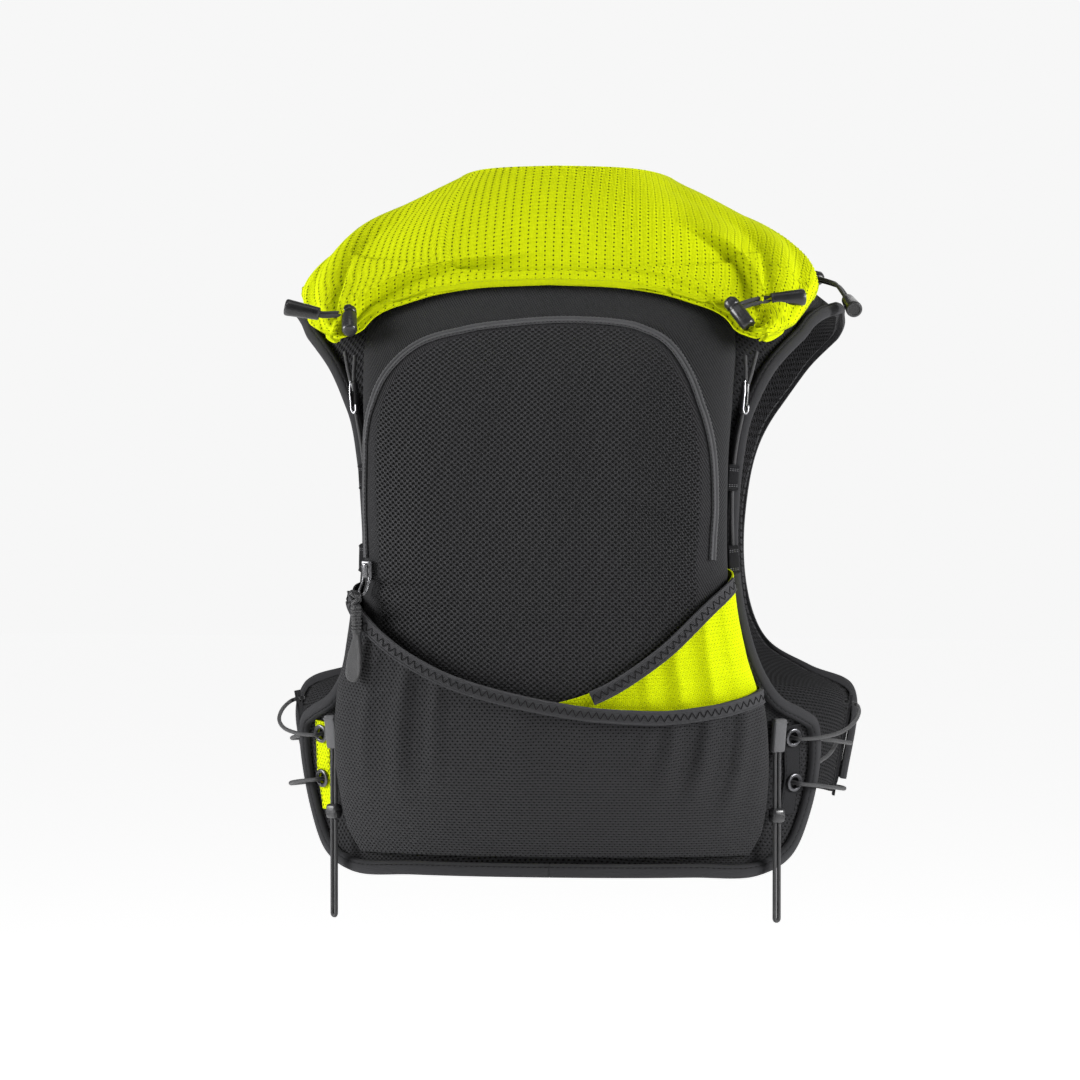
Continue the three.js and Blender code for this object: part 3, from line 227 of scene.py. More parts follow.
@dataclass(frozen=True)
class TorsoForm:
    """The smooth torso that the cloth is measured from. Columns: drop, half, back, front."""

    half: float = 186.0
    back: float = 121.0
    front: float = 112.0
    roundness: float = 2.4
    lean: float = 0.55
    lean_drops: tuple[float, float] = (215.0, 290.0)
    rows: Rows = (
        (-0.13, 0.265, 0.48, 0.3), (-0.086, 0.296, 0.57, 0.36), (-0.036, 0.371, 0.67, 0.45),
        (0.01, 0.478, 0.752, 0.54), (0.068, 0.645, 0.835, 0.643), (0.114, 0.769, 0.884, 0.732),
        (0.145, 0.849, 0.912, 0.775), (0.182, 0.925, 0.942, 0.839), (0.286, 1.0, 0.992, 0.946),
        (0.416, 1.0, 1.0, 1.0), (0.571, 0.973, 0.967, 1.0), (0.753, 0.906, 0.901, 0.955),
        (0.883, 0.857, 0.868, 0.929), (1.1, 0.79, 0.876, 0.929)
    )

    def sizes(self, z: Array) -> tuple[Array, Array, Array]:
        """Gives the form's half width and its depths behind and in front at a height."""
        drop = -np.asarray(z, float) / BACK_DROP
        half, back, front = (column(self.rows, 0, key)(drop) for key in (1, 2, 3))
        return half * self.half, back * self.back, front * self.front

    def level(self, x: Array, y: Array, z: Array) -> Array:
        """Says how far out of the form points are: 1 on its surface."""
        half, back, front = self.sizes(z)
        deep = np.where(y < 0, back, front)
        return np.abs(x / half) ** self.roundness + np.abs(y / deep) ** self.roundness

    def normal(self, x: Array, y: Array, z: Array) -> Array:
        """Gives the directions straight off the form."""
        h = 0.5
        slope = [
            self.level(x + dx, y + dy, z + dz) - self.level(x - dx, y - dy, z - dz)
            for dx, dy, dz in ((h, 0, 0), (0, h, 0), (0, 0, h))
        ]
        return unit(np.stack(slope, axis=-1))

    def spot(self, turn: Array, z: Array, off: Array | float) -> Array:
        """Finds points on or off the form.

        Args:
            turn: Angles round the form from the middle of the back, in radians.
            z: Heights.
            off: Distances off the form's surface.

        Returns:
            The points.
        """
        turn, z = np.broadcast_arrays(np.asarray(turn, float), np.asarray(z, float))
        half, back, front = self.sizes(z)
        s, c = np.sin(turn), np.cos(turn)
        power = 2 / self.roundness
        x = half * np.sign(s) * np.abs(s) ** power
        y = -np.where(c > 0, back, front) * np.sign(c) * np.abs(c) ** power
        foot = np.stack([x, y, z], axis=-1)
        return foot + self.normal(x, y, z) * np.asarray(off, float)[..., None]

    def turn_at(self, x: Array, z: Array) -> Array:
        """Gives the turn at which the back of the form has this x."""
        half = self.sizes(z)[0]
        share = np.minimum(1, np.abs(x) / half)
        return np.sign(x) * np.arcsin(share ** (self.roundness / 2))

    def on_back(self, x: Array, z: Array, off: Array | float) -> Array:
        """Finds points on or off the back of the form from x and height."""
        x, z = np.broadcast_arrays(np.asarray(x, float), np.asarray(z, float))
        return self.spot(self.turn_at(x, z), z, off)

    def behind(self, x: Array, z: Array, off: Array | float) -> Array:
        """Finds points off the back, which lean straight backwards where the filled pockets hang."""
        x, z = np.broadcast_arrays(np.asarray(x, float), np.asarray(z, float))
        foot = self.on_back(x, z, 0)
        away = self.on_back(x, z, 1) - foot
        lean = (self.lean * smooth(-z, *self.lean_drops))[..., None]
        way = unit(away * (1 - lean) + np.array([0.0, -1.0, 0.0]) * lean)
        return foot + way * np.asarray(off, float)[..., None]


FORM = TorsoForm()

GAP = 0.5
HARNESS_WALL = 3.0
CLOTH_WALL = 1.0
PACK_FROM = HARNESS_WALL + GAP
CORD_RADIUS = 1.2
# How far each of two strands side by side lies from their middle line.
STRAND_SPREAD = 1.45
# A bore for two strands: width and height.
BORE = (2 * (STRAND_SPREAD + CORD_RADIUS + GAP), 2 * (CORD_RADIUS + GAP))


def off_surface(surface: Place, x: Array, z: Array) -> Array:
    """Gives the directions off a surface that is a function of x and height."""
    h = 0.4
    ahead = surface(x + h, z) - surface(x - h, z)
    above = surface(x, z + h) - surface(x, z - h)
    return unit(np.cross(ahead, above))


# Making meshes


def deselect() -> None:
    """Leaves nothing selected."""
    bpy.ops.object.select_all(action="DESELECT")


def newest(name: str) -> Piece:
    """Names the piece that was just added, and gives it."""
    piece = bpy.context.object
    piece.name = name
    piece.data.name = name
    return piece


def activate(piece: Piece) -> None:
    """Selects one piece alone and makes it active."""
    deselect()
    piece.select_set(True)
    bpy.context.view_layer.objects.active = piece


def edit(piece: Piece, *steps: Callable[[], object]) -> None:
    """Runs steps in edit mode with all of the piece selected."""
    activate(piece)
    bpy.ops.object.mode_set(mode="EDIT")
    bpy.ops.mesh.select_all(action="SELECT")
    for step in steps:
        step()
    bpy.ops.object.mode_set(mode="OBJECT")


def outwards() -> None:
    """Turns the selected faces out of the solid, in edit mode."""
    bpy.ops.mesh.normals_make_consistent(inside=False)


def apply(piece: Piece, kind: str, **values: object) -> None:
    """Adds a modifier with these values and applies it."""
    activate(piece)
    modifier = piece.modifiers.new(kind.title(), kind)
    for name, value in values.items():
        setattr(modifier, name, value)
    bpy.ops.object.modifier_apply(modifier=modifier.name)


def soften(piece: Piece, degrees: float = 40.0) -> None:
    """Shades a piece smooth but for edges sharper than an angle."""
    activate(piece)
    bpy.ops.object.shade_smooth_by_angle(angle=math.radians(degrees))


def lattice(name: str, columns: int, rows: int, points: Array, chart: Array) -> Piece:
    """Makes a sheet of quads from a grid of points.

    Args:
        name: The piece's name.
        columns: Faces across.
        rows: Faces along.
        points: Points in millimetres, shaped rows + 1 by columns + 1 by 3.
        chart: The cloth's own places in millimetres, shaped rows + 1 by columns + 1 by 2.

    Returns:
        The sheet, with the chart in metres as its UV map.
    """
    deselect()
    bpy.ops.mesh.primitive_grid_add(x_subdivisions=columns, y_subdivisions=rows, size=2)
    piece = newest(name)
    mesh = piece.data
    flat = np.empty(len(mesh.vertices) * 3, np.float32)
    mesh.vertices.foreach_get("co", flat)
    flat = flat.reshape(-1, 3)
    c = np.rint((flat[:, 0] + 1) / 2 * columns).astype(int)
    r = np.rint((flat[:, 1] + 1) / 2 * rows).astype(int)
    mesh.vertices.foreach_set("co", (points[r, c] * MM).astype(np.float32).ravel())
    corner = np.empty(len(mesh.loops), np.int32)
    mesh.loops.foreach_get("vertex_index", corner)
    layer = mesh.uv_layers[0] if mesh.uv_layers else mesh.uv_layers.new()
    layer.name = "cloth"
    layer.data.foreach_set("uv", (chart[r, c][corner] * MM).astype(np.float32).ravel())
    mesh.update()
    return piece


def cloth_chart(points: Array) -> Array:
    """Measures a grid of points along its rows and columns, from the middle column and the first row."""
    across = run_along(points, 1)
    across -= across[:, [points.shape[1] // 2]]
    return np.stack([across, run_along(points, 0)], axis=-1)


def cloth(name: str, size: tuple[int, int], place: Place, wall: float) -> Piece:
    """Lays a sheet of cloth and gives it its thickness inwards.

    Args:
        name: The piece's name.
        size: Faces across and along.
        place: Gives the outer face's points from u, -1 to 1 across, and v, 0 to 1 upwards.
        wall: The cloth's thickness.

    Returns:
        The closed wall of cloth.
    """
    u, v = np.meshgrid(np.linspace(-1, 1, size[0] + 1), np.linspace(0, 1, size[1] + 1))
    points = place(u, v)
    piece = lattice(name, size[0], size[1], points, cloth_chart(points))
    row, across = points.shape[0] // 2, points.shape[1] // 2
    middle = points[row, across]
    ahead, above = points[row, across + 1] - middle, points[row + 1, across] - middle
    if np.dot(np.cross(ahead, above)[:2], middle[:2]) < 0:
        edit(piece, bpy.ops.mesh.flip_normals)
    apply(piece, "SOLIDIFY", thickness=wall * MM, offset=-1.0)
    soften(piece, 50)
    return piece


def sweep(name: str, at: Array, out: Array, section: Array, smooth_angle: float = 40.0) -> Piece:
    """Carries a closed outline along a route.

    Args:
        name: The piece's name.
        at: The route's points.
        out: The direction off the surface at each point.
        section: The outline's points as side and out, one outline or one for each point of the route.
        smooth_angle: Edges sharper than this many degrees stay crisp.

    Returns:
        The closed strip.
    """
    side = sideways(at, out)
    shape = np.broadcast_to(section, (len(at), *np.shape(section)[-2:]))
    shape = np.concatenate([shape, shape[:, :1]], axis=1)
    points = at[:, None] + side[:, None] * shape[..., :1] + out[:, None] * shape[..., 1:]
    around = run_along(shape, 1)
    chart = np.stack([around, np.broadcast_to(run_of(at)[:, None], around.shape)], axis=-1)
    piece = lattice(name, shape.shape[1] - 1, len(at) - 1, points, chart)
    edit(
        piece, lambda: bpy.ops.mesh.remove_doubles(threshold=2e-6),
        lambda: bpy.ops.mesh.fill_holes(sides=0), outwards
    )
    soften(piece, smooth_angle)
    return piece


def transported(path: Array, first: Array) -> Array:
    """Carries a direction along a path without twisting it."""
    ahead = unit(np.gradient(path, axis=0))
    out = [unit(first - ahead[0] * np.dot(first, ahead[0]))]
    for t in ahead[1:]:
        out.append(unit(out[-1] - t * np.dot(out[-1], t)))
    return np.array(out)


def round_section(radius: float, sides: int) -> Array:
    """Gives the points of a round outline."""
    turn = np.linspace(0, 2 * math.pi, sides, endpoint=False)
    return np.stack([radius * np.cos(turn), radius * np.sin(turn)], axis=1)


def tube(name: str, path: Array, radius: float | Array, sides: int = 12) -> Piece:
    """Makes a round cord along a path.

    Args:
        name: The piece's name.
        path: The cord's centreline.
        radius: Its radius, or one for each point.
        sides: Sides round it.

    Returns:
        The cord.
    """
    guess = np.array([0.3, -0.8, 0.5])
    section = round_section(1.0, sides)[None] * np.broadcast_to(radius, len(path))[:, None, None]
    return sweep(name, path, transported(path, guess), section, 70)


@dataclass(frozen=True)
class Seat:
    """A small piece's place: its middle and the directions of its side and its length."""

    at: tuple[float, float, float]
    side: tuple[float, float, float]
    up: tuple[float, float, float]

    def axes(self) -> tuple[Array, Array, Array]:
        """Gives the side, up and out directions."""
        side, up = unit(np.array(self.side)), unit(np.array(self.up))
        return side, up, np.cross(side, up)

    def matrix(self) -> Matrix:
        """Gives the turn and move from the piece's own axes, in metres."""
        return seated(*self.axes(), self.at)

    def point(self, a: float, b: float, c: float) -> Array:
        """Finds a point from its side, up and out distances."""
        side, up, out = self.axes()
        return np.array(self.at) + side * a + up * b + out * c

    def on(self, body_side: int) -> "Seat":
        """Gives the seat on the left, -1, as it was written, or its mirror image on the right, 1."""
        if body_side < 0:
            return self
        at, side, up = self.at, self.side, self.up
        return Seat((-at[0], at[1], at[2]), (side[0], -side[1], -side[2]), (-up[0], up[1], up[2]))


def put(piece: Piece, seat: Seat) -> Piece:
    """Moves a mesh made round the origin to its seat."""
    piece.data.transform(seat.matrix())
    piece.data.update()
    return piece


def block(
    name: str, size: Sequence[float], round_edges: float, middle: Sequence[float] = (0, 0, 0)
) -> Piece:
    """Makes a block with rounded edges round the origin.

    Args:
        name: The piece's name.
        size: Its width, height and depth.
        round_edges: The radius of its edges.
        middle: Where its middle is.

    Returns:
        The block.
    """
    deselect()
    bpy.ops.mesh.primitive_cube_add(size=MM)
    piece = newest(name)
    edit(piece, lambda: bpy.ops.transform.resize(value=tuple(size), center_override=(0, 0, 0)))
    apply(piece, "BEVEL", width=round_edges * MM, segments=4, limit_method="ANGLE")
    piece.data.transform(Matrix.Translation(Vector(middle) * MM))
    chart_box(piece)
    soften(piece, 35)
    return piece


def turned(name: str, rows: Rows, sides: int = 32) -> Piece:
    """Turns a solid about its length from a disc that is extruded and resized row by row.

    Args:
        name: The piece's name.
        rows: Radius and height of each row, from one end to the other.
        sides: Sides round it.

    Returns:
        The solid, with its length along Y.
    """
    deselect()
    radius, start = rows[0]
    bpy.ops.mesh.primitive_circle_add(
        vertices=sides, radius=radius * MM, fill_type="NGON", location=(0, 0, start * MM)
    )
    piece = newest(name)
    activate(piece)
    bpy.ops.object.transform_apply(location=True, rotation=False, scale=False)
    bpy.ops.object.mode_set(mode="EDIT")
    bpy.ops.mesh.select_all(action="SELECT")
    for wide, height in rows[1:]:
        bpy.ops.mesh.extrude_region_move(TRANSFORM_OT_translate={"value": (0, 0, (height - start) * MM)})
        share = wide / radius
        bpy.ops.transform.resize(value=(share, share, 1), center_override=(0, 0, height * MM))
        radius, start = wide, height
    bpy.ops.mesh.select_all(action="SELECT")
    outwards()
    bpy.ops.object.mode_set(mode="OBJECT")
    piece.data.transform(Matrix.Rotation(math.radians(-90), 4, "X"))
    chart_box(piece)
    soften(piece, 35)
    return piece


def chart_box(piece: Piece) -> None:
    """Charts a piece from its own places, each face along its two flatter directions, in metres."""
    mesh = piece.data
    for layer in list(mesh.uv_layers):
        mesh.uv_layers.remove(layer)
    layer = mesh.uv_layers.new(name="cloth")
    for face in mesh.polygons:
        steep = max(range(3), key=lambda k: abs(face.normal[k]))
        across, along = [k for k in (0, 2, 1) if k != steep][:2]
        for corner in face.loop_indices:
            at = mesh.vertices[mesh.loops[corner].vertex_index].co
            layer.data[corner].uv = (at[across], at[along])


def cut(piece: Piece, *tools: Piece) -> Piece:
    """Takes tools out of a piece and removes them."""
    for tool in tools:
        apply(piece, "BOOLEAN", operation="DIFFERENCE", object=tool, solver="EXACT")
        bpy.data.objects.remove(tool)
    soften(piece, 35)
    return piece


def join(piece: Piece, *others: Piece) -> Piece:
    """Joins other meshes into a piece."""
    activate(piece)
    for other in others:
        other.select_set(True)
    bpy.ops.object.join()
    return piece


def copies(name: str, model: Piece, seats: Sequence[Matrix]) -> Piece:
    """Repeats a small modelled form at many places as one mesh.

    Args:
        name: The piece's name.
        model: The form, which is removed.
        seats: Its turns and moves.

    Returns:
        The one mesh of all its copies.
    """
    base = np.array([v.co for v in model.data.vertices])
    polygons = [tuple(p.vertices) for p in model.data.polygons]
    bpy.data.objects.remove(model)
    points = []
    faces = []
    for k, seat in enumerate(seats):
        m = np.array(seat)
        points.append(base @ m[:3, :3].T + m[:3, 3])
        faces += [tuple(i + k * len(base) for i in face) for face in polygons]
    mesh = bpy.data.meshes.new(name)
    mesh.from_pydata(np.concatenate(points).tolist(), [], faces)
    piece = bpy.data.objects.new(name, mesh)
    bpy.context.scene.collection.objects.link(piece)
    mesh.uv_layers.new(name="cloth")
    soften(piece, 80)
    return piece


def stitch_model(length: float, thread: float) -> Piece:
    """Makes one stitch along X: a thread that dips into the cloth at both ends."""
    deselect()
    bpy.ops.mesh.primitive_uv_sphere_add(segments=6, ring_count=5, radius=MM)
    piece = bpy.context.object
    piece.data.transform(Matrix.Rotation(math.radians(90), 4, "Y"))
    piece.data.transform(Matrix.Diagonal((length / 2, thread, thread, 1)))
    return piece


def stitch_row(path: Array, out: Array, pitch: float) -> list[Matrix]:
    """Spaces stitches along a route.

    Args:
        path: The route.
        out: The direction off the cloth at each point.
        pitch: From the start of one stitch to the next.

    Returns:
        Each stitch's turn and move, in metres.
    """
    along = run_of(path)
    seats = []
    for s in np.arange(pitch / 2, along[-1], pitch):
        at = read_off(s, along, path)
        up = unit(read_off(s, along, out))
        ahead = unit(at - read_off(s - 0.4, along, path) + 1e-9)
        seats.append(seated(ahead, unit(np.cross(up, ahead)), up, at))
    return seats


# Finishes


class Graph:
    """Lays out a node tree."""

    def __init__(self, tree: Tree) -> None:
        """Keeps the tree that nodes are added to."""
        self.tree = tree

    def node(self, kind: str, values: dict[str | int, object] | None = None, **props: object) -> Node:
        """Adds a node.

        Args:
            kind: The node's type.
            values: For each input, a plain value or the socket that feeds it.
            props: The node's own settings.

        Returns:
            The node.
        """
        made = self.tree.nodes.new(kind)
        for name, value in props.items():
            setattr(made, name, value)
        for key, value in (values or {}).items():
            self.feed(made.inputs[key], value)
        return made

    def feed(self, socket: Socket, value: object) -> None:
        """Links a socket to another, or sets its plain value."""
        if isinstance(value, Socket):
            self.tree.links.new(value, socket)
        else:
            socket.default_value = value

    def chart(self) -> Socket:
        """Gives the cloth's own chart, in metres."""
        return self.node("ShaderNodeUVMap", uv_map="cloth").outputs[0]

    def place(self) -> Socket:
        """Gives the place on the object."""
        return self.node("ShaderNodeTexCoord").outputs["Object"]

    def surface(self, values: dict[str | int, object]) -> None:
        """Adds the shader with these values, and the material's output."""
        shader = self.node("ShaderNodeBsdfPrincipled", values)
        self.node("ShaderNodeOutputMaterial", {0: shader.outputs[0]})

    def by_ray(self, seen: float, cast: float) -> Socket:
        """Gives one strength to what is seen and another to the light that is cast."""
        camera = self.node("ShaderNodeLightPath").outputs["Is Camera Ray"]
        return self.math("MULTIPLY_ADD", camera, seen - cast, cast)

    def math(self, operation: str, *values: object, clamp: bool = False) -> Socket:
        """Adds a sum of up to three values and gives its result."""
        made = self.node("ShaderNodeMath", dict(enumerate(values)), operation=operation, use_clamp=clamp)
        return made.outputs[0]

    def blend(self, share: object, a: object, b: object) -> Socket:
        """Mixes two colours and gives the result."""
        made = self.node("ShaderNodeMix", data_type="RGBA")
        self.feed(made.inputs[0], share)
        self.feed(made.inputs[6], a)
        self.feed(made.inputs[7], b)
        return made.outputs[2]

    def wave(self, turns: object) -> Socket:
        """Gives the sine of a number of turns."""
        return self.math("SINE", self.math("MULTIPLY", turns, math.tau))

    def counted(self, chart: Socket, across: Socket, along: Socket) -> tuple[Socket, Socket]:
        """Splits a chart in two, each counted in its own pitch."""
        split = self.node("ShaderNodeSeparateXYZ", {0: chart})
        return self.math("DIVIDE", split.outputs[0], across), self.math("DIVIDE", split.outputs[1], along)

    def ranged(self, value: object, low: float, high: float, to: tuple[float, float] = (0, 1)) -> Socket:
        """Maps a range of values to another, eased at both ends."""
        made = self.node(
            "ShaderNodeMapRange", {0: value, 1: low, 2: high, 3: to[0], 4: to[1]},
            interpolation_type="SMOOTHSTEP"
        )
        return made.outputs[0]


def new_group(
    name: str, inputs: dict[str, tuple[str, object]], outputs: dict[str, str]
) -> tuple[Tree, Graph, dict, Node]:
    """Starts a shader node group.

    Args:
        name: The group's name.
        inputs: For each input, its socket type and default value.
        outputs: For each output, its socket type.

    Returns:
        The group, its graph, its inputs inside the group, and its output node.
    """
    tree = bpy.data.node_groups.new(name, "ShaderNodeTree")
    for key, (kind, value) in inputs.items():
        socket = tree.interface.new_socket(key, in_out="INPUT", socket_type=kind)
        if value is not None:
            socket.default_value = value
    for key, kind in outputs.items():
        tree.interface.new_socket(key, in_out="OUTPUT", socket_type=kind)
    graph = Graph(tree)
    start = graph.node("NodeGroupInput")
    end = graph.node("NodeGroupOutput")
    return tree, graph, {key: start.outputs[key] for key in inputs}, end


FLOAT = "NodeSocketFloat"
VECTOR = "NodeSocketVector"


def punched_group() -> Tree:
    """Makes the group for a knit with staggered holes: a mask of the holes and the height of the yarn."""
    tree, g, source, end = new_group(
        "punched knit",
        {
            "Cloth": (VECTOR, None), "Across": (FLOAT, 0.0038), "Along": (FLOAT, 0.0016),
            "Hole Width": (FLOAT, 0.3), "Hole Height": (FLOAT, 0.45), "Stagger": (FLOAT, 0.5)
        },
        {"Hole": FLOAT, "Yarn": FLOAT}
    )
    x, y = g.counted(source["Cloth"], source["Across"], source["Along"])
    row = g.math("FLOORED_MODULO", g.math("FLOOR", y), 2.0)
    x = g.math("MULTIPLY_ADD", row, source["Stagger"], x)
    fx, fy = (
        g.math("DIVIDE", g.math("SUBTRACT", g.math("FRACT", at), 0.5), source[size])
        for at, size in ((x, "Hole Width"), (y, "Hole Height"))
    )
    away = g.math("SQRT", g.math("ADD", g.math("MULTIPLY", fx, fx), g.math("MULTIPLY", fy, fy)))
    hole = g.ranged(away, 0.35, 0.65, (1, 0))
    yarn = g.math("ADD", g.math("MULTIPLY", g.wave(x), 0.25), g.math("MULTIPLY", g.wave(y), 0.25))
    g.feed(end.inputs["Hole"], hole)
    g.feed(end.inputs["Yarn"], g.math("SUBTRACT", yarn, hole))
    return tree


def twill_group() -> Tree:
    """Makes the group for fine slanted threads: their height, from -1 to 1."""
    tree, g, source, end = new_group(
        "slanted threads",
        {"Cloth": (VECTOR, None), "Pitch": (FLOAT, 0.0009), "Slant": (FLOAT, 0.6), "Cross": (FLOAT, 0.5)},
        {"Threads": FLOAT}
    )
    x, y = g.counted(source["Cloth"], source["Pitch"], source["Pitch"])
    slanted = g.wave(g.math("MULTIPLY_ADD", y, source["Slant"], x))
    crossing = g.wave(g.math("SUBTRACT", y, g.math("MULTIPLY", x, 0.15)))
    made = g.math("MULTIPLY_ADD", crossing, source["Cross"], slanted)
    g.feed(end.inputs["Threads"], g.math("MULTIPLY", made, 0.6))
    return tree


def tone_group() -> Tree:
    """Makes the group for uneven tone: a soft wide mask and a fine speckle, both from 0 to 1."""
    tree, g, source, end = new_group(
        "uneven tone", {"Place": (VECTOR, None), "Wide": (FLOAT, 14.0), "Fine": (FLOAT, 900.0)},
        {"Soft": FLOAT, "Speckle": FLOAT}
    )
    wide = g.node("ShaderNodeTexNoise", {"Vector": source["Place"], "Scale": source["Wide"], "Detail": 3.0})
    fine = g.node("ShaderNodeTexNoise", {"Vector": source["Place"], "Scale": source["Fine"], "Detail": 1.0})
    g.feed(end.inputs["Soft"], g.ranged(wide.outputs[0], 0.35, 0.65))
    g.feed(end.inputs["Speckle"], g.ranged(fine.outputs[0], 0.3, 0.7))
    return tree


def braid_group() -> Tree:
    """Makes the group for a braided sheath: the height of its crossing strands, from 0 to 1."""
    tree, g, source, end = new_group(
        "braided sheath", {"Cloth": (VECTOR, None), "Around": (FLOAT, 0.00094), "Along": (FLOAT, 0.0011)},
        {"Strands": FLOAT}
    )
    x, y = g.counted(source["Cloth"], source["Around"], source["Along"])
    one, two = (
        g.math("ABSOLUTE", g.wave(g.math("MULTIPLY", g.math(way, x, y), 0.5)))
        for way in ("ADD", "SUBTRACT")
    )
    g.feed(end.inputs["Strands"], g.math("MULTIPLY", one, two))
    return tree


class Groups:
    """The shader node groups, each built once."""

    made: dict[str, Tree] = {}

    @classmethod
    def place(cls, graph: Graph, maker: Callable[[], Tree], values: dict) -> Node:
        """Puts a group into a material.

        Args:
            graph: The material's graph.
            maker: The function that builds the group.
            values: Its inputs.

        Returns:
            The group's node.
        """
        if maker.__name__ not in cls.made:
            cls.made[maker.__name__] = maker()
        node = graph.node("ShaderNodeGroup", node_tree=cls.made[maker.__name__])
        for key, value in values.items():
            graph.feed(node.inputs[key], value)
        return node


def colour(r: float, g: float, b: float) -> Colour:
    """Turns a screen colour from 0 to 255 into a linear one."""

    def linear(c: float) -> float:
        """Undoes the screen's curve for one channel."""
        c = c / 255
        return c / 12.92 if c <= 0.04045 else ((c + 0.055) / 1.055) ** 2.4

    return (linear(r), linear(g), linear(b), 1.0)


class Surface(Enum):
    """How a cloth is made."""

    PUNCHED = "knit with staggered holes"
    TWILL = "fine slanted threads"
    FACED = "punched face with slanted threads beyond it"


@dataclass(frozen=True)
class Finish:
    """What every finish has: its name and its colour."""

    name: str
    body: Colour

    def start(self) -> tuple[Material, Graph]:
        """Makes an empty material, and gives it with its graph."""
        material = bpy.data.materials.new(self.name)
        material.use_nodes = True
        material.node_tree.nodes.clear()
        return material, Graph(material.node_tree)

    def tinted(self, factor: float) -> Colour:
        """Gives the body colour darker or lighter."""
        return tuple(min(1.0, factor * c) for c in self.body[:3]) + (1.0,)

    def make(self) -> Material:
        """Builds the material."""
        raise NotImplementedError


@dataclass(frozen=True)
class ClothFinish(Finish):
    """A cloth: its colours, its holes and threads, and how it takes the light."""

    deep: Colour
    surface: Surface = Surface.TWILL
    pitch: tuple[float, float] = (3.8, 1.6)
    hole: tuple[float, float] = (0.3, 0.5)
    stagger: float = 0.5
    thread: float = 0.9
    slant: float = 0.6
    cross: float = 0.5
    relief: float = 0.3
    thread_shade: float = 0.25
    roughness: float = 0.8
    sheen: float = 0.03
    specular: float = 0.12
    tone: float = 0.25
    between: float = 0.62
    speckle: float = 0.12

    def make(self) -> Material:
        """Builds the material."""
        material, g = self.start()
        uv, place = g.chart(), g.place()
        threads = Groups.place(
            g, twill_group,
            {"Cloth": uv, "Pitch": self.thread * MM, "Slant": self.slant, "Cross": self.cross}
        ).outputs["Threads"]
        tone = Groups.place(g, tone_group, {"Place": place})
        shade = g.math("MULTIPLY_ADD", threads, self.thread_shade, 0.5, clamp=True)
        base = g.blend(shade, self.tinted(self.between), self.body)
        base = g.blend(g.math("MULTIPLY", tone.outputs["Soft"], self.tone), base, self.tinted(0.7))
        base = g.blend(g.math("MULTIPLY", tone.outputs["Speckle"], self.speckle), base, self.tinted(1.5))
        height = threads
        if self.surface is not Surface.TWILL:
            punched = Groups.place(
                g, punched_group,
                {
                    "Cloth": uv, "Across": self.pitch[0] * MM, "Along": self.pitch[1] * MM,
                    "Hole Width": self.hole[0], "Hole Height": self.hole[1], "Stagger": self.stagger
                }
            )
            hole, yarn = punched.outputs["Hole"], punched.outputs["Yarn"]
            if self.surface is Surface.FACED:
                face = g.node("ShaderNodeAttribute", attribute_name="face_cloth").outputs["Fac"]
                hole = g.math("MULTIPLY", hole, face)
                yarn = g.math("MULTIPLY", yarn, face)
                base = g.blend(g.math("MULTIPLY_ADD", face, -0.95, 0.95), base, self.tinted(0.5))
            base = g.blend(hole, base, self.deep)
            height = g.math("MULTIPLY_ADD", yarn, 2.2, g.math("MULTIPLY", threads, 0.5))
        rough = g.math("MULTIPLY_ADD", tone.outputs["Speckle"], 0.1, self.roughness - 0.05)
        relief = g.node("ShaderNodeBump", {"Height": height, "Distance": self.relief * MM, "Strength": 0.8})
        g.surface(
            {
                "Base Color": base, "Roughness": rough, "Normal": relief.outputs[0],
                "Sheen Weight": self.sheen, "Sheen Roughness": 0.5, "Specular IOR Level": self.specular
            }
        )
        return material


@dataclass(frozen=True)
class CordFinish(Finish):
    """An elastic cord's braided sheath."""

    roughness: float = 0.6

    def make(self) -> Material:
        """Builds the material."""
        material, g = self.start()
        uv, place = g.chart(), g.place()
        strands = Groups.place(g, braid_group, {"Cloth": uv}).outputs["Strands"]
        tone = Groups.place(g, tone_group, {"Place": place, "Wide": 60.0})
        # The grooves between the strands are painted darker, as shade.
        base = g.blend(strands, self.tinted(0.45), self.body)
        base = g.blend(g.math("MULTIPLY", tone.outputs["Soft"], 0.25), base, self.tinted(1.4))
        rough = g.math("MULTIPLY_ADD", tone.outputs["Speckle"], 0.12, self.roughness - 0.06)
        relief = g.node("ShaderNodeBump", {"Height": strands, "Distance": 0.00025, "Strength": 0.7})
        g.surface(
            {"Base Color": base, "Roughness": rough, "Normal": relief.outputs[0], "Sheen Weight": 0.08}
        )
        return material


@dataclass(frozen=True)
class HardFinish(Finish):
    """A moulded plastic or a plain metal."""

    # The colour painted on convex edges as a highlight.
    edge_highlight: Colour
    roughness: float = 0.35
    metallic: float = 0.0
    grain: float = 0.03

    def make(self) -> Material:
        """Builds the material."""
        material, g = self.start()
        place = g.place()
        tone = Groups.place(g, tone_group, {"Place": place, "Wide": 120.0, "Fine": 2600.0})
        # Convex edges, found from pointiness, are painted lighter as a highlight.
        point = g.node("ShaderNodeNewGeometry").outputs["Pointiness"]
        edge = g.ranged(point, 0.505, 0.56)
        base = g.blend(g.math("MULTIPLY", tone.outputs["Soft"], 0.35), self.body, self.tinted(1.5))
        base = g.blend(g.math("MULTIPLY", edge, 0.5), base, self.edge_highlight)
        rough = g.math("MULTIPLY_ADD", tone.outputs["Soft"], 0.14, self.roughness - 0.05)
        relief = g.node(
            "ShaderNodeBump",
            {"Height": tone.outputs["Speckle"], "Distance": self.grain * MM, "Strength": 0.6}
        )
        g.surface(
            {"Base Color": base, "Roughness": rough, "Metallic": self.metallic, "Normal": relief.outputs[0]}
        )
        return material


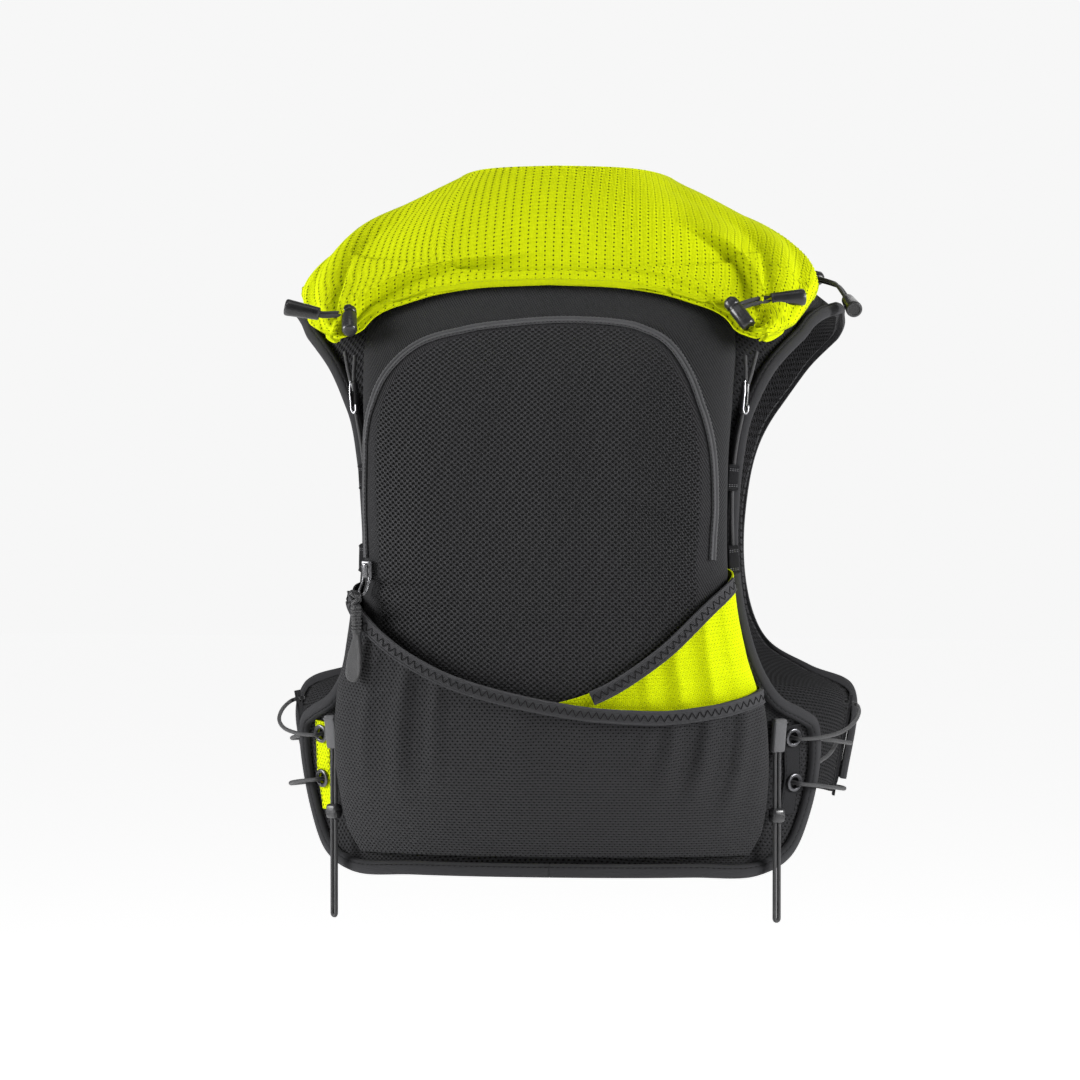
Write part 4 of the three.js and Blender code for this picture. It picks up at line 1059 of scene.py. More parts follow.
LIME = ClothFinish(
    "lime punched mesh", colour(203, 217, 0), colour(74, 84, 0), Surface.PUNCHED, pitch=(5.0, 2.7),
    hole=(0.2, 0.42), stagger=0.0, thread=0.9, slant=0.0, relief=0.3, thread_shade=0.3, roughness=0.85,
    sheen=0.0, specular=0.08, tone=0.06
)
LIME_POCKET = ClothFinish(
    "lime pocket mesh", colour(206, 222, 0), colour(120, 138, 0), Surface.PUNCHED, pitch=(2.4, 2.0),
    hole=(0.22, 0.4), thread=0.8, relief=0.25, thread_shade=0.3, roughness=0.85, sheen=0.0, specular=0.08,
    tone=0.06
)
PACK = ClothFinish(
    "punched pack face", colour(54, 54, 56), colour(1, 1, 1), Surface.FACED, pitch=(3.8, 1.6),
    hole=(0.52, 0.86), thread=1.5, slant=0.55, cross=0.35, relief=0.8, thread_shade=0.75, roughness=0.75,
    tone=0.3
)
POCKET = ClothFinish(
    "black pocket mesh", colour(48, 48, 50), colour(5, 5, 5), Surface.PUNCHED, pitch=(3.0, 1.9),
    hole=(0.36, 0.58), thread=0.8, relief=0.42, thread_shade=0.35, roughness=0.75
)
SPACER = ClothFinish(
    "spacer mesh", colour(46, 46, 48), colour(4, 4, 4), Surface.PUNCHED, pitch=(3.2, 2.2), hole=(0.5, 0.6),
    thread=0.9, relief=0.5, roughness=0.82
)
BINDING = ClothFinish(
    "matt binding", colour(54, 54, 56), colour(8, 8, 8), thread=0.55, slant=0.0, cross=0.9, relief=0.12,
    thread_shade=0.2, roughness=0.85
)
WEBBING = ClothFinish(
    "webbing", colour(36, 36, 38), colour(8, 8, 8), thread=0.7, slant=0.9, cross=0.7, relief=0.2,
    thread_shade=0.35, roughness=0.8
)
WELT = ClothFinish(
    "zip welt", colour(78, 78, 80), colour(20, 20, 20), thread=0.5, slant=1.0, cross=0.4, relief=0.12,
    thread_shade=0.3, roughness=0.6, sheen=0.12
)
ELASTIC = ClothFinish(
    "ribbed elastic", colour(67, 67, 69), colour(18, 18, 18), thread=0.75, slant=0.0, cross=0.8,
    relief=0.22, thread_shade=0.4, roughness=0.75
)
CORD = CordFinish("braided cord", colour(46, 46, 48))
PLASTIC = HardFinish("black moulded plastic", colour(16, 16, 17), colour(60, 60, 62), roughness=0.28)
STEEL = HardFinish(
    "brushed steel", colour(150, 150, 154), colour(215, 215, 218), roughness=0.3, metallic=1.0
)
DARK_STEEL = HardFinish(
    "black steel", colour(60, 60, 63), colour(150, 150, 152), roughness=0.3, metallic=0.9
)
DARK_THREAD, GREY_THREAD, LIME_THREAD = (
    ClothFinish(name, colour(*body), colour(*deep), thread=0.3, relief=0.05, roughness=0.6)
    for name, body, deep in (
        ("dark thread", (12, 12, 13), (8, 8, 8)), ("grey thread", (120, 120, 123), (40, 40, 40)),
        ("lime thread", (176, 190, 10), (120, 130, 0))
    )
)
LIME_HEM = ClothFinish(
    "lime rolled hem", colour(198, 212, 0), colour(120, 138, 0), thread=0.7, slant=0.0, cross=0.9,
    relief=0.2, thread_shade=0.2, roughness=0.85, sheen=0.0, specular=0.08, tone=0.06
)
PULL = CordFinish("soft pull cord", colour(34, 34, 36), roughness=0.42)
GREY_TAPE = ClothFinish(
    "grey folded tape", colour(104, 104, 106), colour(40, 40, 41), thread=0.7, slant=0.0, cross=0.8,
    relief=0.2, thread_shade=0.35
)


class Palette:
    """The materials, each made when it is first used."""

    made: dict[str, Material] = {}

    @classmethod
    def get(cls, finish: Finish) -> Material:
        """Gives a finish's material."""
        if finish.name not in cls.made:
            cls.made[finish.name] = finish.make()
        return cls.made[finish.name]


def dress(piece: Piece, finish: Finish, nodes: Sequence[str] = ()) -> Piece:
    """Gives a piece its finish and its place in the frame.

    Args:
        piece: The finished mesh.
        finish: Its finish.
        nodes: The frame's nodes that it stands for.

    Returns:
        The piece.
    """
    piece.data.materials.clear()
    piece.data.materials.append(Palette.get(finish))
    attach(piece, "root")
    if nodes:
        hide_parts(*nodes)
    LOG.info("%s: %d faces", piece.name, len(piece.data.polygons))
    return piece


def sew(
    name: str, seats: Sequence[Matrix], length: float, thread: float, finish: ClothFinish
) -> None:
    """Sews stitches as one dressed piece.

    Args:
        name: The piece's name.
        seats: Each stitch's turn and move.
        length: A stitch's length.
        thread: Half its thread's thickness.
        finish: The thread's finish.
    """
    dress(copies(name, stitch_model(length, thread), seats), finish)


def declare_sheet(place: Place) -> None:
    """Samples the outer face of a sheet at a grid of points, in metres; nothing is declared or kept.

    Args:
        place: The function that placed its outer face.
    """
    u, v = np.meshgrid(np.linspace(-1, 1, 161), np.linspace(0, 1, 61))
    points = place(u, v) * MM


# The vest's sub-assemblies


@dataclass
class Studio:
    """The floor, the lights and the camera."""

    distance: float = 3100.0
    azimuth: float = 6.5
    elevation: float = 2.0
    lens: float = 171.6
    aim_right: float = -18.0
    aim_up: float = -192.0
    sensor: float = 36.0
    far: float = 40.0
    floor_drop: float = 900.0
    floor_size: float = 24.0
    floor_tone: float = 0.86
    sky: float = 0.15
    sky_seen: float = 0.93
    floor_fill: float = 0.3
    floor_seen: float = 0.8
    light_aim: tuple[float, float, float] = (0.0, 0.0, -0.2)
    # Each light's name, place and size in metres, and its power in watts.
    lights: tuple[tuple[str, tuple[float, float, float], float, float], ...] = (
        ("key", (-1.0, -1.6, 1.9), 0.8, 8), ("left side", (-2.1, -0.6, 0.3), 0.9, 68),
        ("right side", (2.1, -0.65, 0.4), 0.9, 74), ("top", (0.1, -0.5, 2.2), 1.0, 6),
        ("front", (0.4, 2.6, 1.0), 1.8, 14)
    )

    def axes(self) -> tuple[Array, Array, Array]:
        """Gives the camera's right, up and back directions."""
        a, e = math.radians(self.azimuth), math.radians(self.elevation)
        back = np.array([math.sin(a) * math.cos(e), -math.cos(a) * math.cos(e), math.sin(e)])
        right = unit(np.cross([0, 0, 1], back))
        return right, np.cross(back, right), back

    def place_camera(self) -> None:
        """Puts the camera at the photograph's viewing angle."""
        right, up, back = self.axes()
        at = right * self.aim_right + up * self.aim_up + back * self.distance
        lens = bpy.data.cameras.new("camera")
        lens.lens = self.lens
        lens.sensor_width = self.sensor
        lens.sensor_fit = "HORIZONTAL"
        lens.clip_end = self.far
        camera = bpy.data.objects.new("camera", lens)
        camera.matrix_world = seated(right, up, back, at)
        bpy.context.scene.collection.objects.link(camera)
        bpy.context.scene.camera = camera

    def light(self, name: str, at: Sequence[float], size: float, power: float) -> None:
        """Hangs a soft square light that faces the vest.

        Args:
            name: The light's name.
            at: Where it hangs, in metres.
            size: The length of its sides, in metres.
            power: Its power in watts.
        """
        lamp = bpy.data.lights.new(name, "AREA")
        lamp.shape = "SQUARE"
        lamp.size = size
        lamp.energy = power
        holder = bpy.data.objects.new(name, lamp)
        holder.location = at
        aim = Vector(self.light_aim) - Vector(at)
        holder.rotation_euler = aim.to_track_quat("-Z", "Y").to_euler()
        bpy.context.scene.collection.objects.link(holder)

    def lay_floor(self) -> None:
        """Lays the floor, which glows more to the camera than to the vest."""
        deselect()
        bpy.ops.mesh.primitive_plane_add(size=self.floor_size, location=(0, 0, -self.floor_drop * MM))
        floor = bpy.context.object
        floor.name = "floor"
        material = bpy.data.materials.new("pale floor")
        material.use_nodes = True
        shader = material.node_tree.nodes["Principled BSDF"]
        shader.inputs["Base Color"].default_value = (*[self.floor_tone] * 3, 1)
        shader.inputs["Roughness"].default_value = 0.9
        shader.inputs["Emission Color"].default_value = (1, 1, 1, 1)
        g = Graph(material.node_tree)
        g.feed(shader.inputs["Emission Strength"], g.by_ray(self.floor_seen, self.floor_fill))
        floor.data.materials.append(material)

    def fill_sky(self) -> None:
        """Fills the room with a white sky, dimmer to the vest than to the camera."""
        world = bpy.data.worlds.new("studio")
        world.use_nodes = True
        sky = world.node_tree.nodes["Background"]
        sky.inputs[0].default_value = (1, 1, 1, 1)
        g = Graph(world.node_tree)
        g.feed(sky.inputs[1], g.by_ray(self.sky_seen, self.sky))
        bpy.context.scene.world = world

    def build(self) -> None:
        """Places the camera, lays the floor and hangs the lights."""
        self.place_camera()
        bpy.context.scene.view_settings.view_transform = "Standard"
        self.lay_floor()
        self.fill_sky()
        for light in self.lights:
            self.light(*light)


@dataclass
class Harness:
    """The padded back with its wings, the two front panels and the bindings on their edges."""

    shoulder_half: float = 161.0
    collar_rise: float = 28.0
    collar_sag: float = 18.0
    front_drop: float = 345.0
    seam_turn: float = math.radians(89.8)
    binding_width: float = 8.0
    binding_height: float = 4.0
    binding_low: float = 4.0
    stitch_pitch: float = 3.4
    front_clear: float = 6.0
    edge: Rows = (
        (0.145, 0.985), (0.158, 0.951), (0.178, 0.906), (0.234, 0.795), (0.293, 0.727), (0.371, 0.689),
        (0.429, 0.677), (0.488, 0.671), (0.532, 0.677), (0.597, 0.696), (0.662, 0.733), (0.706, 0.776),
        (0.732, 0.826), (0.748, 0.9), (0.764, 0.938), (0.805, 0.941), (0.857, 0.928), (0.909, 0.9),
        (0.966, 0.845), (1.0, 0.733)
    )
    front_edge: Rows = (
        (-0.02, 90.2, 103.0), (0.01, 90.2, 124.0), (0.052, 90.2, 143.0), (0.145, 90.2, 160.0),
        (0.16, 108.0, 162.0), (0.234, 136.0, 168.0), (0.338, 149.0, 171.5), (0.468, 153.0, 173.0),
        (0.6, 151.0, 173.0), (0.67, 145.0, 173.0), (0.712, 130.0, 173.0), (0.74, 107.0, 172.5),
        (0.785, 99.6, 172.0), (0.872, 99.6, 171.0), (0.896, 104.0, 168.0)
    )

    @property
    def inset(self) -> float:
        """How far in from an edge the middle of its binding runs."""
        return self.binding_width * 0.45

    def edge_turn(self, z: Array) -> Array:
        """Gives the turn of the back's outer edge at a height."""
        half = at_height(self.edge, 1, z) * self.shoulder_half
        return np.where(
            -z / BACK_DROP < self.edge[0][0], self.seam_turn,
            np.minimum(self.seam_turn, FORM.turn_at(half, z))
        )

    def back_place(self, u: Array, v: Array) -> Array:
        """Places the back panel's outer face."""
        z = mix(-BACK_DROP, self.collar_rise, v)
        low = z - self.collar_sag * u * u * smooth(z, 0, self.collar_rise)
        return FORM.spot(u * self.edge_turn(z), low, HARNESS_WALL)

    def front_place(self, side: int) -> Place:
        """Gives the function that places one front panel's outer face."""

        def place(u: Array, v: Array) -> Array:
            """Places points of the panel."""
            z = mix(-self.front_drop, -self.front_edge[0][0] * BACK_DROP, v)
            outer = at_height(self.front_edge, 1, z)
            inner = at_height(self.front_edge, 2, z)
            turn = np.radians(mix(outer, inner, (u + 1) / 2))
            return FORM.spot(side * turn, z, HARNESS_WALL)

        return place

    def edge_route(self, spots: Sequence[tuple[float, float]], per_span: int) -> tuple[Array, Array]:
        """Runs a route over the form through spots of turn and height.

        Args:
            spots: The turns, in radians, and heights.
            per_span: Steps between one spot and the next.

        Returns:
            The route's points on the form, and the directions off it.
        """
        flat = smooth_path([(turn * FORM.half, 0, z) for turn, z in spots], per_span)
        flat = respaced(flat, 3.0)
        turn = flat[:, 0] / FORM.half
        at = FORM.spot(turn, flat[:, 2], 0)
        return at, unit(FORM.spot(turn, flat[:, 2], 1) - at)

    def outer_spots(self) -> list[tuple[float, float]]:
        """Lists the spots of the armhole binding, from the middle of the hem to the front panel."""
        inset = self.inset
        spots = [
            (float(FORM.turn_at(s * self.shoulder_half, inset - BACK_DROP)), inset - BACK_DROP)
            for s in (0.001, 0.25, 0.5)
        ]
        for drop, half in reversed(self.edge[1:]):
            z = -drop * BACK_DROP
            low = float(smooth(drop, 0.93, 1))
            wing_top = float(smooth(drop, 0.72, 0.745) * (1 - smooth(drop, 0.765, 0.8)))
            x = half * self.shoulder_half - inset * (1 - 0.5 * low)
            spots.append((float(FORM.turn_at(x, z)), z + inset * low - inset * 0.9 * wing_top))
        crest = -(self.edge[0][0] + 0.002) * BACK_DROP
        spots += [(math.radians(83), crest), (math.radians(97), crest)]
        inset_turn = inset / FORM.half
        for drop, outer, _ in self.front_edge:
            if drop > self.edge[0][0] and drop * BACK_DROP < self.front_drop - self.front_clear:
                spots.append((math.radians(outer) + inset_turn, -drop * BACK_DROP))
        return spots

    def inner_spots(self) -> list[tuple[float, float]]:
        """Lists the spots of the front panel's inner binding."""
        inset_turn = self.inset / FORM.half
        return [
            (math.radians(inner) - inset_turn, -drop * BACK_DROP) for drop, _, inner in self.front_edge
            if drop * BACK_DROP < self.front_drop - self.front_clear
        ]

    def binding_section(self) -> Array:
        """Gives the outline of a folded binding: round at the back, with a groove where it is stitched."""
        w, low, high = self.binding_width / 2, self.binding_low, self.binding_low + self.binding_height
        return np.array(
            [
                (-w, low), (w, low), (w * 1.02, low + 1.4), (w * 0.93, low + 2.5), (w * 0.7, high - 0.55),
                (w * 0.35, high - 0.05), (0, high), (-w * 0.25, high - 0.1), (-w * 0.42, high - 0.55),
                (-w * 0.5, high - 0.95), (-w * 0.58, high - 0.7), (-w * 0.8, high - 1.1), (-w, low + 1.3)
            ]
        )

    def build_panels(self) -> None:
        """Lays the back and the front panels."""
        back = cloth("vest_back", (96, 190), self.back_place, HARNESS_WALL)
        dress(back, SPACER, ["back_panel"])
        for side, label in SIDES:
            front = cloth(f"vest_front_{label}", (36, 150), self.front_place(side), HARNESS_WALL)
            dress(front, SPACER, [f"front_panel_{label}"])

    def build_bindings(self) -> None:
        """Sews the bindings to the edges."""
        section = self.binding_section()
        seats: list[Matrix] = []
        for side, label in SIDES:
            for kind, spots in (("armhole", self.outer_spots()), ("front", self.inner_spots())):
                at, out = self.edge_route([(side * turn, z) for turn, z in spots], 12)
                sign = 1 if (side > 0) == (kind == "armhole") else -1
                binding = sweep(f"{kind}_edge_{label}", at, out, section * np.array([sign, 1]))
                dress(binding, BINDING, [f"{kind}_binding_{label}"])
                lateral = sideways(at, out)
                row = at - lateral * sign * self.binding_width * 0.25
                row = row + out * (self.binding_low + self.binding_height - 0.75)
                seats += stitch_row(row, out, self.stitch_pitch)
        sew("binding_stitches", seats, 2.3, 0.3, DARK_THREAD)

    def build(self) -> None:
        """Builds the harness."""
        self.build_panels()
        self.build_bindings()


@dataclass
class Pack:
    """The filled pack on the back, with the welt of its zipper."""

    depth: float = 42.0
    half: float = 104.0
    top: float = 39.0
    bottom: float = 348.0
    square: float = 4.2
    tuck: float = 4.5
    wall: float = 1.6
    zip_half: float = 94.5
    zip_top: float = 64.0
    zip_foot: float = 195.0
    zip_limit: float = 0.955
    ripple: float = 0.22
    # Heights between which the face's dents fade in.
    settle: tuple[float, float] = (4.0, 14.0)
    arch_step: float = 2.0
    stitch_aside: float = 2.0
    stitch_height: float = 1.4
    stitch_pitch: float = 2.4
    # Outline of the zipper's welt: two rolls that meet over the coil.
    welt: Rows = (
        (-2.3, 0.25), (2.3, 0.25), (2.35, 0.8), (2.0, 1.35), (1.2, 1.6), (0.55, 1.45), (0.12, 0.95),
        (-0.12, 0.95), (-0.55, 1.45), (-1.2, 1.6), (-2.0, 1.35), (-2.35, 0.8)
    )
    rows: Rows = (
        (39.0 / 385.0, 0.97, 0.05), (0.14, 1.0, 0.14), (0.17, 1.015, 0.27), (0.21, 1.02, 0.43),
        (0.27, 1.005, 0.61), (0.37, 0.975, 0.82), (0.5, 0.963, 0.95), (0.62, 0.98, 0.98),
        (0.74, 1.01, 0.93), (0.82, 1.03, 0.76), (0.88, 1.03, 0.45), (348.0 / 385.0, 0.98, 0.06)
    )
    arch: Rows = (
        (-1.0, 1.0), (-1.02, 0.75), (-1.03, 0.52), (-1.0, 0.36), (-0.92, 0.235), (-0.75, 0.115),
        (-0.5, 0.045), (-0.2, 0.012), (0.15, 0.0), (0.4, 0.012), (0.57, 0.04), (0.7, 0.1), (0.81, 0.21),
        (0.9, 0.365), (0.95, 0.54), (0.96, 0.76), (0.94, 1.0)
    )
    # Soft dents of the filled face: x, z, half length across, half length along, slope and depth.
    dents: Rows = (
        (-78.0, -209.0, 26.0, 2.6, 0.05, 2.6), (-84.0, -217.0, 34.0, 4.0, 0.1, -2.2),
        (-74.0, -227.0, 26.0, 3.4, 0.12, 1.8), (64.0, -172.0, 15.0, 5.0, -0.35, 2.4),
        (66.0, -160.0, 16.0, 7.0, -0.3, -1.8), (52.0, -96.0, 26.0, 22.0, 0.0, -2.4),
        (-20.0, -118.0, 16.0, 60.0, 0.0, 2.0), (26.0, -150.0, 14.0, 80.0, 0.0, 1.6),
        (-60.0, -150.0, 14.0, 60.0, 0.0, -1.6), (0.0, -235.0, 46.0, 12.0, 0.05, 1.6)
    )

    def dome(self, share: Array) -> Array:
        """Gives the pack's height across, as a share."""
        return np.maximum(0, 1 - np.abs(share) ** self.square) ** (1 / self.square)

    def tucked(self, share: Array, half: Array) -> Array:
        """Gives x for a share of the half width, with the seam tucked in under the widest line."""
        return share * half - np.sign(share) * self.tuck * (1 - self.dome(share)) ** 3

    def half_at(self, z: Array) -> Array:
        """Gives the half width at a height."""
        return at_height(self.rows, 1, z) * self.half

    def height(self, x: Array, z: Array) -> Array:
        """Gives the outer face's height over the harness."""
        inside = (-z >= self.top) & (-z <= self.bottom)
        share = np.clip(x / self.half_at(z), -1, 1)
        return np.where(inside, at_height(self.rows, 2, z) * self.depth * self.dome(share), 0)

    def dented(self, x: Array, z: Array) -> Array:
        """Gives the depth of the dents at a place."""
        total = np.zeros_like(x)
        for middle, drop, wide, tall, slope, deep in self.dents:
            along = z - drop - slope * (x - middle)
            total += deep * bump(x, middle, wide) * bump(along, 0, tall)
        total += self.ripple * np.sin(0.11 * x + 0.045 * z) * np.sin(0.037 * x - 0.09 * z)
        return total

    def on_pack(self, x: Array, z: Array) -> Array:
        """Finds points of the outer face."""
        return FORM.behind(x, z, PACK_FROM + self.height(x, z))

    def place(self, u: Array, v: Array) -> Array:
        """Places the outer face."""
        share = np.sin(u * math.pi / 2)
        z = mix(-self.bottom, -self.top, 0.5 - 0.5 * np.cos(math.pi * v))
        depth = np.maximum(GAP, at_height(self.rows, 2, z) * self.depth)
        x = self.tucked(share, self.half_at(z))
        lift = depth * self.dome(share)
        settled = self.dented(x, z) * smooth(lift, *self.settle)
        return FORM.behind(x, z, PACK_FROM + lift - settled)

    def arch_path(self, per_span: int) -> Array:
        """Runs the zipper's arch flat in x and height."""
        high = self.zip_foot - self.zip_top
        points = [(x * self.zip_half, 0, -self.zip_top - down * high) for x, down in self.arch]
        return smooth_path(points, per_span)

    def zip_route(self) -> tuple[Array, Array]:
        """Runs the zipper's arch over the outer face, with the directions off it."""
        flat = respaced(self.arch_path(16), self.arch_step)
        z = flat[:, 2]
        limit = self.half_at(z) * self.zip_limit
        x = np.clip(flat[:, 0], -limit, limit)
        out = off_surface(self.on_pack, x, z)
        sink = self.dented(x, z)[:, None] * smooth(self.height(x, z), *self.settle)[:, None]
        return self.on_pack(x, z) - out * sink, out

    def mark_face(self, piece: Piece) -> None:
        """Marks where the punched face lies: inside the zipper's arch and below it."""
        points = np.array([v.co for v in piece.data.vertices]) / MM
        flat = self.arch_path(10)
        top = int(np.argmax(flat[:, 2]))
        left, right = flat[: top + 1], flat[top:][::-1]
        z = points[:, 2]
        x_left = np.interp(z, left[:, 2], left[:, 0])
        x_right = np.interp(z, right[:, 2], right[:, 0])
        inside = np.minimum(points[:, 0] - x_left, x_right - points[:, 0])
        inside = np.minimum(inside, flat[top, 2] - z)
        mask = smooth(inside, -1.0, 1.0)
        attribute = piece.data.attributes.new("face_cloth", "FLOAT", "POINT")
        attribute.data.foreach_set("value", mask.astype(np.float32))

    def build(self) -> None:
        """Builds the pack and its zipper's welt."""
        shell = cloth("pack_body", (150, 190), self.place, self.wall)
        self.mark_face(shell)
        dress(shell, PACK, ["pack_shell"])

        at, out = self.zip_route()
        welt = sweep("zipper_welt", at, out, np.array(self.welt), 60)
        dress(welt, WELT, ["zip_welt"])
        side = sideways(at, out)
        rows = []
        for sign in (-1, 1):
            row = at + side * sign * self.stitch_aside + out * self.stitch_height
            rows += stitch_row(row, out, self.stitch_pitch)
        sew("welt_stitches", rows, 1.5, 0.2, DARK_THREAD)


@dataclass
class Pockets:
    """The crossed stretch pockets, with the elastic bands on their top edges."""

    pack: Pack
    half: float = 124.0
    bottom: float = 373.0
    ease: float = 2.5
    band_width: float = 8.4
    band_height: float = 1.4
    band_end: float = 0.965
    zigzag_step: float = 0.5
    zigzag_pitch: float = 4.6
    zigzag_half: float = 2.2
    zigzag_dip: float = 0.35
    zigzag_thread: float = 0.24
    under_start: float = 0.24
    fold_rise: float = 2.0
    fold_sink: float = 0.65
    under_inside: float = CLOTH_WALL + 2.4 * GAP
    rows: Rows = (
        (0.5, 0.843, 1.0), (0.57, 0.857, 1.03), (0.65, 0.908, 1.03), (0.72, 0.975, 1.0),
        (0.77, 0.995, 0.95), (0.83, 1.0, 0.83), (0.88, 0.995, 0.63), (0.93, 0.98, 0.36),
        (373.0 / 385.0, 0.93, 0.11)
    )
    outer_top: Rows = (
        (-1.0, 0.548), (-0.84, 0.592), (-0.62, 0.643), (-0.4, 0.679), (-0.16, 0.704), (0.06, 0.72),
        (0.3, 0.731), (0.52, 0.734), (0.76, 0.725), (1.0, 0.703)
    )
    under_top: Rows = (
        (-1.0, 0.87), (-0.7, 0.83), (-0.3, 0.77), (0.05, 0.725), (0.18, 0.712), (0.3, 0.695), (0.45, 0.665),
        (0.61, 0.627), (0.78, 0.58), (0.92, 0.545), (1.0, 0.527)
    )
    # Folds of the outer pocket: place across at the top edge, at the bottom, width, height and reach down.
    outer_folds: Rows = (
        (-0.62, -0.7, 0.03, 1.0, 0.75), (-0.54, -0.6, 0.025, -0.8, 0.7), (-0.47, -0.5, 0.025, 0.7, 0.6),
        (-0.78, -0.84, 0.03, 0.8, 0.8), (0.5, 0.3, 0.03, 0.5, 0.4), (0.6, 0.42, 0.028, 0.9, 0.55),
        (0.68, 0.5, 0.025, -0.7, 0.6), (0.75, 0.58, 0.028, 1.0, 0.65), (0.83, 0.68, 0.025, -0.8, 0.7),
        (0.9, 0.76, 0.028, 1.1, 0.8), (-0.1, -0.16, 0.06, 0.5, 0.7), (0.2, 0.16, 0.06, 0.4, 0.6)
    )
    under_folds: Rows = (
        (0.5, 0.46, 0.02, 0.6, 1.0), (0.58, 0.53, 0.02, -0.5, 1.0), (0.65, 0.6, 0.022, 0.8, 1.0),
        (0.73, 0.66, 0.02, -0.6, 1.0), (0.8, 0.74, 0.022, 0.8, 1.0), (0.87, 0.82, 0.02, -0.5, 1.0)
    )

    def at(self, u: Array, z: Array, inside: float, off: Array | float = 0.0) -> Array:
        """Finds points at a share of the pockets' half width.

        Args:
            u: The share.
            z: Heights.
            inside: How far the points lie inside the outer face, all round.
            off: How far they stand off it.

        Returns:
            The points.
        """
        half = at_height(self.rows, 1, z) * self.half - inside
        depth = at_height(self.rows, 2, z) * (self.pack.depth + self.ease) - inside
        x = self.pack.tucked(u, half)
        return FORM.behind(x, z, PACK_FROM + np.maximum(depth, GAP) * self.pack.dome(u) + off)

    def layer_place(self, top: Rows, inside: float, folds: Rows) -> Place:
        """Gives the function that places one layer's outer face."""

        def place(u: Array, v: Array) -> Array:
            """Places points of the layer."""
            share = np.sin(u * math.pi / 2)
            z = mix(-self.bottom, -column(top, 0, 1)(share) * BACK_DROP, v**1.3)
            lift = np.zeros_like(u)
            for at_top, at_bottom, width, high, reach in folds:
                fade = smooth(v, 1 - reach, 1 - 0.4 * reach) * (1 - 0.55 * smooth(v, 0.93, 1.0))
                ridge = bump(share, mix(at_bottom, at_top, v), width * (1.6 - 0.6 * v))
                lift += self.fold_rise * high * ridge * fade
            lift *= smooth(1 - np.abs(share), 0.0, 0.06)
            if inside > 0:
                lift *= smooth(z + column(self.outer_top, 0, 1)(share) * BACK_DROP, -3, 8)
            return self.at(share, z, inside, np.maximum(lift, -self.fold_sink))

        return place

    def band_route(
        self, top: Rows, start: float, end: float, inside: float, lift: float
    ) -> tuple[Array, Array]:
        """Runs a band's route along a top edge, with the directions off it."""
        u = np.linspace(start, end, 200)
        z = -column(top, 0, 1)(u) * BACK_DROP - self.band_width * 0.4
        ahead = self.at(u + 0.003, z, inside) - self.at(u - 0.003, z, inside)
        above = self.at(u, z + 0.4, inside) - self.at(u, z - 0.4, inside)
        out = unit(np.cross(ahead, above))
        return self.at(u, z, inside) + out * lift, out

    def band_section(self) -> Array:
        """Gives the outline of an elastic band with a rib along each edge."""
        w, h = self.band_width / 2, self.band_height
        half = [
            (w, 0), (w * 1.02, h * 0.5), (w * 0.97, h), (w * 0.86, h * 1.12), (w * 0.74, h),
            (w * 0.68, h * 0.78), (w * 0.3, h * 0.84)
        ]
        return np.array([(-w, 0), *half, *[(-x, y) for x, y in reversed(half[1:])]])

    def zigzag(self, name: str, at: Array, out: Array) -> Piece:
        """Sews a zigzag of thread along the middle of a band."""
        path = respaced(at, self.zigzag_step)
        along = np.linspace(0, 1, len(at))
        wanted = np.linspace(0, 1, len(path))
        up = unit(read_off(wanted, along, out))
        side = sideways(path, up)
        length = np.arange(len(path)) * self.zigzag_step
        wave = np.abs((length / self.zigzag_pitch) % 1.0 * 2 - 1) * 2 - 1
        rise = self.band_height * 0.86 + 0.2 - self.zigzag_dip * np.abs(wave) ** 6
        points = path + side * (wave * self.zigzag_half)[:, None] + up * rise[:, None]
        thread = sweep(name, points, up, round_section(self.zigzag_thread, 6), 80)
        return dress(thread, DARK_THREAD)

    def build(self) -> None:
        """Builds both pockets and their bands."""
        for name, size, place, finish, slot, node, rests_on in (
            (
                "pocket_lower_layer", (170, 90),
                self.layer_place(self.under_top, self.under_inside, self.under_folds), LIME_POCKET,
                "lime_mesh", "pocket_under", "pack_body"
            ),
            (
                "pocket_upper_layer", (190, 100), self.layer_place(self.outer_top, 0.0, self.outer_folds),
                POCKET, "black_mesh", "pocket_outer", "pocket_lower_layer"
            )
        ):
            layer = dress(cloth(name, size, place, CLOTH_WALL), finish, [node])
            declare_sheet(place)
        for name, top, start, inside, lift in (
            ("outer", self.outer_top, -self.band_end, 0.0, self.band_height + GAP),
            ("under", self.under_top, self.under_start, self.under_inside, GAP)
        ):
            at, out = self.band_route(top, start, self.band_end, inside, lift)
            band = sweep(f"{name}_pocket_elastic", at, out, self.band_section(), 50)
            dress(band, ELASTIC, [f"pocket_{name}_band"])
            self.zigzag(f"{name}_pocket_zigzag", at, out)


